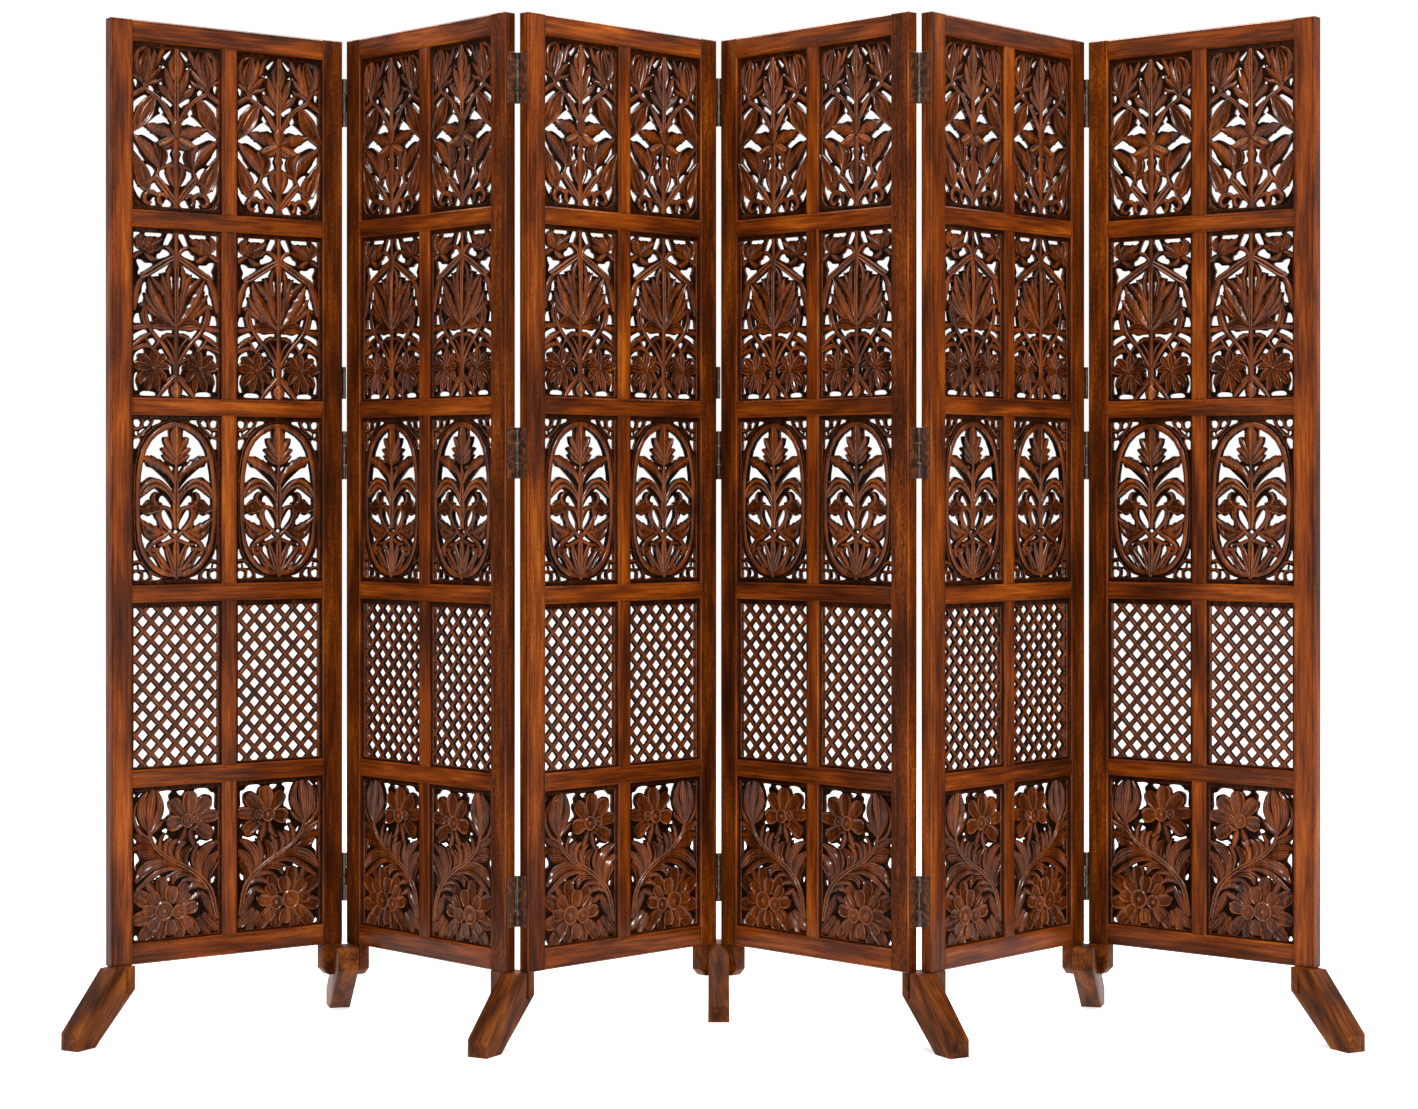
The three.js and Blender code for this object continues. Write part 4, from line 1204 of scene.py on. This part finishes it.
# %% [markdown]
# First the tree finds where each slat's middle lies and how far it spans. A slat runs
# from side to side of the opening, but its ends may stop at the top or the bottom.
# Along one slat, z = first crossing - step_z * (x / step_x - number).

# %% Where the slats lie
PITCH_ACROSS, PITCH_DOWN = 34.7, 36.8
step_x, step_z = PITCH_ACROSS * MM, PITCH_DOWN * MM
slope = math.atan2(step_z, step_x)
lattice, lattice_keys, given = new_tree(
    "diagonal lattice", Slat="Object", Slats_each_way="Int", Half_width="Float",
    Top="Float", Bottom="Float", First_crossing="Float")


add = partial(add_node, lattice)
index = add("GeometryNodeInputIndex")
which = add(MATH, add(MATH, index, 2.0, operation="DIVIDE"), operation="FLOOR")
lean = add(MATH, index, 2.0, operation="MODULO")
lean = add(MATH, lean, -2.0, 1.0, operation="MULTIPLY_ADD")
number = add(MATH, given["Slats_each_way"], 3.0, operation="SUBTRACT")
number = add(MATH, which, number, operation="SUBTRACT")
reach = {}
for end in ("Top", "Bottom"):
    down = add(MATH, given["First_crossing"], given[end], operation="SUBTRACT")
    steps = add(MATH, number, add(MATH, down, step_z, operation="DIVIDE"), operation="ADD")
    reach[end] = add(MATH, steps, step_x, operation="MULTIPLY")
x_low = add(MATH, given["Half_width"], -1.0, operation="MULTIPLY")
x_low = add(MATH, x_low, reach["Top"], operation="MAXIMUM")
x_high = add(MATH, given["Half_width"], reach["Bottom"], operation="MINIMUM")
span = add(MATH, x_high, x_low, operation="SUBTRACT")
x_middle = add(MATH, add(MATH, x_low, x_high, operation="ADD"), 0.5, operation="MULTIPLY")
z_middle = add(MATH, x_middle, step_x, operation="DIVIDE")
z_middle = add(MATH, z_middle, number, operation="SUBTRACT")
z_middle = add(MATH, z_middle, -step_z, given["First_crossing"], operation="MULTIPLY_ADD")
print("the slats lean", round(math.degrees(slope), 1), "degrees")

# %% [markdown]
# Then a point is set at each middle, slats shorter than 2 mm are left out, and the one
# slat is turned and stretched on every point. Last, each slat gets its own place in the
# wood, so that the grain runs along it.

# %% The slats laid and cut
SHORTEST = 0.002
count = add(MATH, given["Slats_each_way"], 2.0, operation="MULTIPLY")
points = add(LINE, {"Count": count, "Offset": (0, 0, 0)})
spot = add(JOIN_XYZ, {"X": add(MATH, x_middle, lean, operation="MULTIPLY"), "Z": z_middle})
points = add("GeometryNodeSetPosition", {"Geometry": points, "Position": spot})
for name, value in (("lean", lean), ("number", number), ("span", span)):
    points = add(STORE, {"Geometry": points, "Name": name, "Value": value},
                 data_type="FLOAT", domain="POINT")
lean, number, span = (add(READ, {"Name": name}, output="Attribute", data_type="FLOAT")
                      for name in ("lean", "number", "span"))
short = add("FunctionNodeCompare", {"A": span, "B": SHORTEST}, operation="LESS_THAN")
points = add("GeometryNodeDeleteGeometry", {"Geometry": points, "Selection": short})
turn = add(JOIN_XYZ, {"Y": add(MATH, lean, slope, operation="MULTIPLY")})
stretch = add(MATH, span, math.cos(slope), operation="DIVIDE")
stretch = add(JOIN_XYZ, {"X": stretch, "Y": 1.0, "Z": 1.0})
slat = add(PICK, {"Object": given["Slat"]}, output="Geometry")
laid = add(ON_POINTS, {
    "Points": points, "Instance": slat, "Rotation": turn, "Scale": stretch})
laid = add(REAL, {"Geometry": laid})

x, y, z = add(SPLIT_XYZ, add("GeometryNodeInputPosition"), output=None)
along = add(MATH, x, lean, operation="MULTIPLY")
along = add(MATH, along, math.cos(slope), operation="MULTIPLY")
fall = add(MATH, z, math.sin(slope), operation="MULTIPLY")
along = add(MATH, along, fall, operation="SUBTRACT")
z = add(MATH, z, 0.7, operation="MULTIPLY")
grain = add(JOIN_XYZ, {  # the factors only keep the slats' places in the wood apart
    "X": add(MATH, number, 0.37, z, operation="MULTIPLY_ADD"),
    "Y": add(MATH, lean, 3.1, y, operation="MULTIPLY_ADD"),
    "Z": add(MATH, number, 0.91, along, operation="MULTIPLY_ADD")})
laid = add(STORE, {"Geometry": laid, "Name": "grain", "Value": grain},
           data_type="FLOAT_VECTOR", domain="POINT")
end_tree(lattice, laid, given["Finish"])
print("lattice tree:", len(lattice.nodes), "nodes")

# %% [markdown]
# The tree is used once. Its result becomes a plain mesh, which is then copied into the
# twelve lattice openings, each with the same raised border as the other boards.

# %% Turn a tree's result into a plain mesh
def finished_mesh(thing):
    """A new mesh with the object's modifiers applied. The modifiers are then removed."""
    bpy.context.view_layer.update()
    graph = bpy.context.evaluated_depsgraph_get()
    mesh = bpy.data.meshes.new_from_object(thing.evaluated_get(graph), depsgraph=graph)
    thing.modifiers.clear()
    return mesh


def result_of(base, tree, keys, **values):
    """The mesh that a tree makes from base: corners, faces, grain and relief."""
    link_to_scene(base)
    modifier = base.modifiers.new(tree.name, "NODES")
    modifier.node_group = tree
    for name, value in values.items():
        modifier[keys[name]] = value
    base.update_tag()
    mesh = finished_mesh(base)
    bpy.context.scene.collection.objects.unlink(base)
    count = len(mesh.vertices)
    corners, grain, relief = np.zeros(count * 3), np.zeros(count * 3), np.zeros(count)
    mesh.vertices.foreach_get("co", corners)
    for name, key, facts in (("grain", "vector", grain), ("relief", "value", relief)):
        if name in mesh.attributes:
            mesh.attributes[name].data.foreach_get(key, facts)
    faces = [tuple(face.vertices) for face in mesh.polygons]
    return corners.reshape(-1, 3), faces, grain.reshape(-1, 3), relief


corners, faces, grain, relief = result_of(
    new_object("lattice", [], []), lattice, lattice_keys, Slat=one_slat, Slats_each_way=15,
    Half_width=0.0925, Top=-0.008, Bottom=-0.3215, First_crossing=-0.0186, Finish=carved_finish)
lattice_board = Pile()
lattice_board.add(corners / MM, faces, relief, grain / MM)
raised_border(lattice_board, ROW_HEIGHTS[LATTICE_ROW], (6, 11, 5), 1, 2)
for k in PANELS:
    set_in_panel(k, LATTICE_ROW, "lattice", lattice_board)
print("lattice board:", lattice_board.count, "corners,", len(lattice_board.faces), "faces")

# %% [markdown]
# Every fold turns on three iron butt hinges. One leaf lies on each upright's edge, and
# knuckles round a pin join them: two on the leaf that keeps the pin, and one on the
# other. Three screws fasten each leaf, and they are the next repeated shape.

# %% A screw head and a row of them
def lathe(profile, sides):
    """A closed shape turned round Z from (radius, height) pairs, top to bottom."""
    turns = [2 * math.pi * k / sides for k in range(sides)]
    corners, faces = [(0, 0, profile[0][1])], []
    for radius, height in profile:
        corners += [(radius * math.cos(turn), radius * math.sin(turn), height) for turn in turns]
    corners.append((0, 0, profile[-1][1]))
    last = 1 + (len(profile) - 1) * sides
    for k in range(sides):
        after = (k + 1) % sides
        faces.append((0, 1 + k, 1 + after))
        for ring in range(1, last, sides):
            faces.append((ring + k, ring + sides + k, ring + sides + after, ring + after))
        faces.append((last + k, len(corners) - 1, last + after))
    return corners, faces


SCREW_HEAD, SCREW_SIDES = [(1.4, 0.25), (2.3, 0.2), (2.8, 0.0), (2.8, -0.4)], 14
one_screw = new_object("one screw head", *lathe(SCREW_HEAD, SCREW_SIDES))

screws, screw_keys, given = new_tree(
    "screws in a row", Screw="Object", Count="Int", First="Vector", Step="Vector", Turn="Vector")
points = add_node(screws, LINE, {
    "Count": given["Count"], "Start Location": given["First"], "Offset": given["Step"]})
screw = add_node(screws, PICK, {"Object": given["Screw"]}, output="Geometry")
heads = add_node(screws, ON_POINTS, {
    "Points": points, "Instance": screw, "Rotation": given["Turn"]})
both = screws.nodes.new("GeometryNodeJoinGeometry")
for part in (heads, given["Geometry"]):
    screws.links.new(part, both.inputs["Geometry"])
end_tree(screws, add_node(screws, REAL, both.outputs["Geometry"]), given["Finish"])
print("one screw head:", len(one_screw.data.vertices), "corners")

# %% [markdown]
# A leaf is drawn round its pin, which stands upright at the origin. The leaf's plate
# starts beside the knuckles and reaches over the edge of its upright.

# %% One hinge leaf
LEAF_THICK, LEAF_GAP, LEAF_REACH, KNUCKLE = 1.5, 0.6, 24.2, 3.5
SCREW_FROM_END, SCREW_FROM_PIN, SCREWS_TO_A_LEAF = 14, 15, 3
KNUCKLE_GAP, KNUCKLE_SIDES = 0.15, 20


def knuckle(pile, low, high):
    half = (high - low) / 2
    profile = [(KNUCKLE - 0.6, half), (KNUCKLE, half - 0.5), (KNUCKLE, 0.5 - half),
               (KNUCKLE - 0.6, -half)]
    corners, faces = lathe(profile, KNUCKLE_SIDES)
    corners = np.array(corners) + (0, 0, (low + high) / 2)
    pile.add(corners, faces, 1.0)


def leaf(toward_x, toward_y, height, knuckles, screw_count):
    pile = Pile()
    face = toward_x * LEAF_GAP / 2
    x = sorted((face, toward_x * (LEAF_GAP / 2 + LEAF_THICK)))
    y = sorted((toward_y * (KNUCKLE + 0.45), toward_y * LEAF_REACH))
    bar(pile, (x[0], y[0], -height / 2), (x[1], y[1], height / 2), 0.4, 0.2, reliefs=(0, 0, 0))
    for low, high in knuckles:
        knuckle(pile, low + KNUCKLE_GAP, high - KNUCKLE_GAP)
        tab = sorted((0.0, toward_y * (KNUCKLE + 1.5)))
        bar(pile, (x[0], tab[0], low + 0.4), (x[1], tab[1], high - 0.4), 0.3, 0.2,
            reliefs=(1, 1, 1))
    corners, grain, relief, vein = pile.arrays()
    if not screw_count:
        return corners, pile.faces, relief
    base = new_object("leaf", corners.tolist(), pile.faces)
    write_attributes(base.data, grain, relief, vein)
    step = (2 * SCREW_FROM_END - height) / (screw_count - 1)
    corners, faces, grain, relief = result_of(
        base, screws, screw_keys, Screw=one_screw, Count=screw_count,
        First=(face, toward_y * SCREW_FROM_PIN, height / 2 - SCREW_FROM_END),
        Step=(0, 0, step), Turn=(0, -toward_x * math.pi / 2, 0), Finish=iron_finish)
    return corners, faces, relief


print("a leaf reaches", LEAF_REACH, "mm from its pin")

# %% [markdown]
# The pins' places come from the solid model's joints. At every second fold the leaves
# lie in front of the pin. Three folds also have a keeper, a short dark piece with one
# knuckle along all of its height.

# %% Hinge leaves and keepers
HINGE_HALF, OUTER_KNUCKLE = 49, 30
joints = {joint["name"]: joint for joint in frame["joints"]}
inside = HINGE_HALF - OUTER_KNUCKLE
knuckles_of = {"pin": [(-HINGE_HALF, -inside), (inside, HINGE_HALF)], "free": [(-inside, inside)]}
for fold in range(1, 6):
    name = f"fold_{fold}_{fold + 1}"
    axis_x, axis_y = joints[name]["pos_m"][:2]
    toward_y = -1 if fold % 2 == 0 else 1
    for side, k, toward_x in (("pin", fold, -1), ("free", fold + 1, 1)):
        turn = np.array(places[k].to_3x3().normalized())
        pile = Pile()
        nodes = [f"{name}_{place}_hinge_{side}_leaf" for place in ("top", "middle", "bottom")]
        if side == "pin" and f"{name}_keeper" in frame["nodes"]:
            nodes.append(f"{name}_keeper")
        for node in nodes:
            low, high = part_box(node)
            height = (high.z - low.z) / MM
            shape = (knuckles_of[side], SCREWS_TO_A_LEAF)
            if node.endswith("keeper"):
                shape = ([(-height / 2, height / 2)], 0)
            corners, faces, worn = leaf(toward_x, toward_y, height, *shape)
            corners = corners @ turn.T
            corners += (axis_x / MM, axis_y / MM, (low.z + high.z) / 2 / MM)
            pile.add(corners, faces, worn)
        make_piece(f"{name}_{side}_leaves", pile, Matrix.Scale(MM, 4), iron_finish,
                   f"panel_{k}", nodes, 35)
print("hinges on", len(joints), "folds")

# %% [markdown]
# Seven feet carry the screen. Each is a short leg sawn from a thick plank, with an
# upright heel and a sloped shin that ends in a toe on the floor, and small blocks seat
# the uprights that stand beside it. The solid model already has each foot in its true
# place and shape, so its own mesh is copied. Flat faces that were cut into triangles are
# made whole again, and a bevel breaks the edges as sandpaper does.

# %% Feet with broken edges
FOOT_HEIGHT, FOOT_EDGE = 0.14, 2.0


def with_broken_edges(node):
    """A copy of a foot's mesh with whole faces and a small bevel."""
    mesh = frame["nodes"][node].data.copy()
    mesh.name = f"{node}_wood"
    work = bmesh.new()
    work.from_mesh(mesh)
    bmesh.ops.remove_doubles(work, verts=work.verts, dist=1e-6)
    bmesh.ops.dissolve_limit(work, angle_limit=math.radians(1), verts=work.verts, edges=work.edges)
    work.to_mesh(mesh)
    work.free()
    foot = bpy.data.objects.new(mesh.name, mesh)
    link_to_scene(foot)
    bevel = foot.modifiers.new("broken edges", "BEVEL")
    bevel.width, bevel.segments = FOOT_EDGE * MM, 2
    bevel.limit_method, bevel.angle_limit = "ANGLE", math.radians(20)
    foot.data = finished_mesh(foot)
    return foot


print("edges of the feet broken by", FOOT_EDGE, "mm")

# %% [markdown]
# A leg's grain runs down its slope, from the heel to the toe. So each foot's own slope is
# found from its top and its toe, and every corner is measured along and across it.

# %% The feet's grain and finish
def leg_grain(points):
    toe = points[points[:, 2] < 0.002].mean(0)
    top = points[points[:, 2] > FOOT_HEIGHT - 0.001].mean(0)
    forward = (toe - top) * (1, 1, 0)
    forward /= np.linalg.norm(forward)
    side = np.array((forward[1], -forward[0], 0))
    fibre = forward * 0.66 + np.array((0, 0, -0.75))
    return np.stack([points @ side, points @ np.cross(fibre, side), points @ fibre], axis=1)


for node in sorted(n for n in frame["nodes"] if n.endswith("_foot")):
    foot = with_broken_edges(node)
    mesh = foot.data
    points = np.array([corner.co for corner in mesh.vertices])
    rise = np.clip(points[:, 2] / FOOT_HEIGHT, 0, 1)
    write_attributes(mesh, leg_grain(points) + random_spot(node, 1), 0.5 + 0.06 * rise,
                     np.zeros((len(points), 3)))
    tidy_normals(mesh, 30)
    mesh.materials.clear()
    mesh.materials.append(foot_finish)
    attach(foot, frame["nodes"][node]["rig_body"])
    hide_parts(node)
    print(foot.name, len(mesh.polygons), "faces")

# %% [markdown]
# The studio is plain white. The floor glows a little, as paper lit from below does, so
# it stays white and keeps only a soft shadow under the feet. The walls are white to the
# camera and in the mirror of the polish and the iron, and give a little less light than
# that, so that the dark wood keeps its colour.

# %% Floor and backdrop
FLOOR_GLOW, WALLS = 0.5, 0.7
floor = new_object(
    "studio floor", [(-30, -30, 0), (30, -30, 0), (30, 60, 0), (-30, 60, 0)], [(0, 1, 2, 3)])
link_to_scene(floor)
paper, tree, shader = new_material("matt white paper", "#f4f4f4")
for name, value in (("Base Color", linear("#dddddd")), ("Roughness", 0.9),
                    ("Specular IOR Level", 0.0), ("Emission Color", (1, 1, 1, 1)),
                    ("Emission Strength", FLOOR_GLOW)):
    shader[name].default_value = value
floor.data.materials.append(paper)

world = bpy.data.worlds.new("white studio")
bpy.context.scene.world = world
world.use_nodes = True
tree = world.node_tree
light = tree.nodes["Background"].inputs
light["Color"].default_value = (1, 1, 1, 1)
ray = add_node(tree, "ShaderNodeLightPath", output=None)
seen = add_node(tree, MATH, ray["Is Glossy Ray"], ray["Is Transmission Ray"], operation="ADD")
seen = add_node(tree, MATH, ray["Is Camera Ray"], seen, operation="ADD", use_clamp=True)
strength = add_node(tree, MATH, seen, 1.0 - WALLS, WALLS, operation="MULTIPLY_ADD")
tree.links.new(strength, light["Strength"])
print("light from the white walls:", WALLS)

# %% [markdown]
# Four large soft lamps do what the photographer's did: a key light high on the right and
# in front, a weaker one on the left, one overhead, and a long one high behind the screen
# that draws a fine bright line along its upper edges.

# %% Lamps
LAMPS = [  # name, place, width and depth, watts
    ("key", (3.2, -4.8, 4.4), (0.5, 0.7), 240),
    ("left fill", (-3.0, -5.2, 4.2), (0.5, 0.7), 110),
    ("top", (0, -0.8, 5.0), (3.2, 0.6), 70),
    ("rim light", (0, 1.9, 4.8), (6.5, 0.9), 460),
]
for name, place, size, power in LAMPS:
    light = bpy.data.lights.new(name, "AREA")
    light.shape, light.size, light.size_y = "RECTANGLE", *size
    light.energy = power
    lamp = bpy.data.objects.new(name, light)
    lamp.location = place
    aim = Vector((0, 0, 1.0)) - Vector(place)
    lamp.rotation_euler = aim.to_track_quat("-Z", "Y").to_euler()
    link_to_scene(lamp)
print("lamps:", len(LAMPS))

# %% [markdown]
# The camera stands a little over five and a half metres away at chest height and looks
# level, so all uprights stay upright in the picture. The lens shift crops it.

# %% Camera
eye = bpy.data.cameras.new("camera")
eye.lens, eye.sensor_width = 72.84, 36
eye.shift_x, eye.shift_y = -0.0035, -0.0444
camera = bpy.data.objects.new("camera", eye)
camera.location = (0.0029, -5.6313, 1.0558)
camera.rotation_euler = (math.pi / 2, 0, 0)
link_to_scene(camera)
bpy.context.scene.camera = camera
bpy.context.scene.view_settings.view_transform = "Standard"
print("the camera looks level from", [round(v, 2) for v in camera.location])
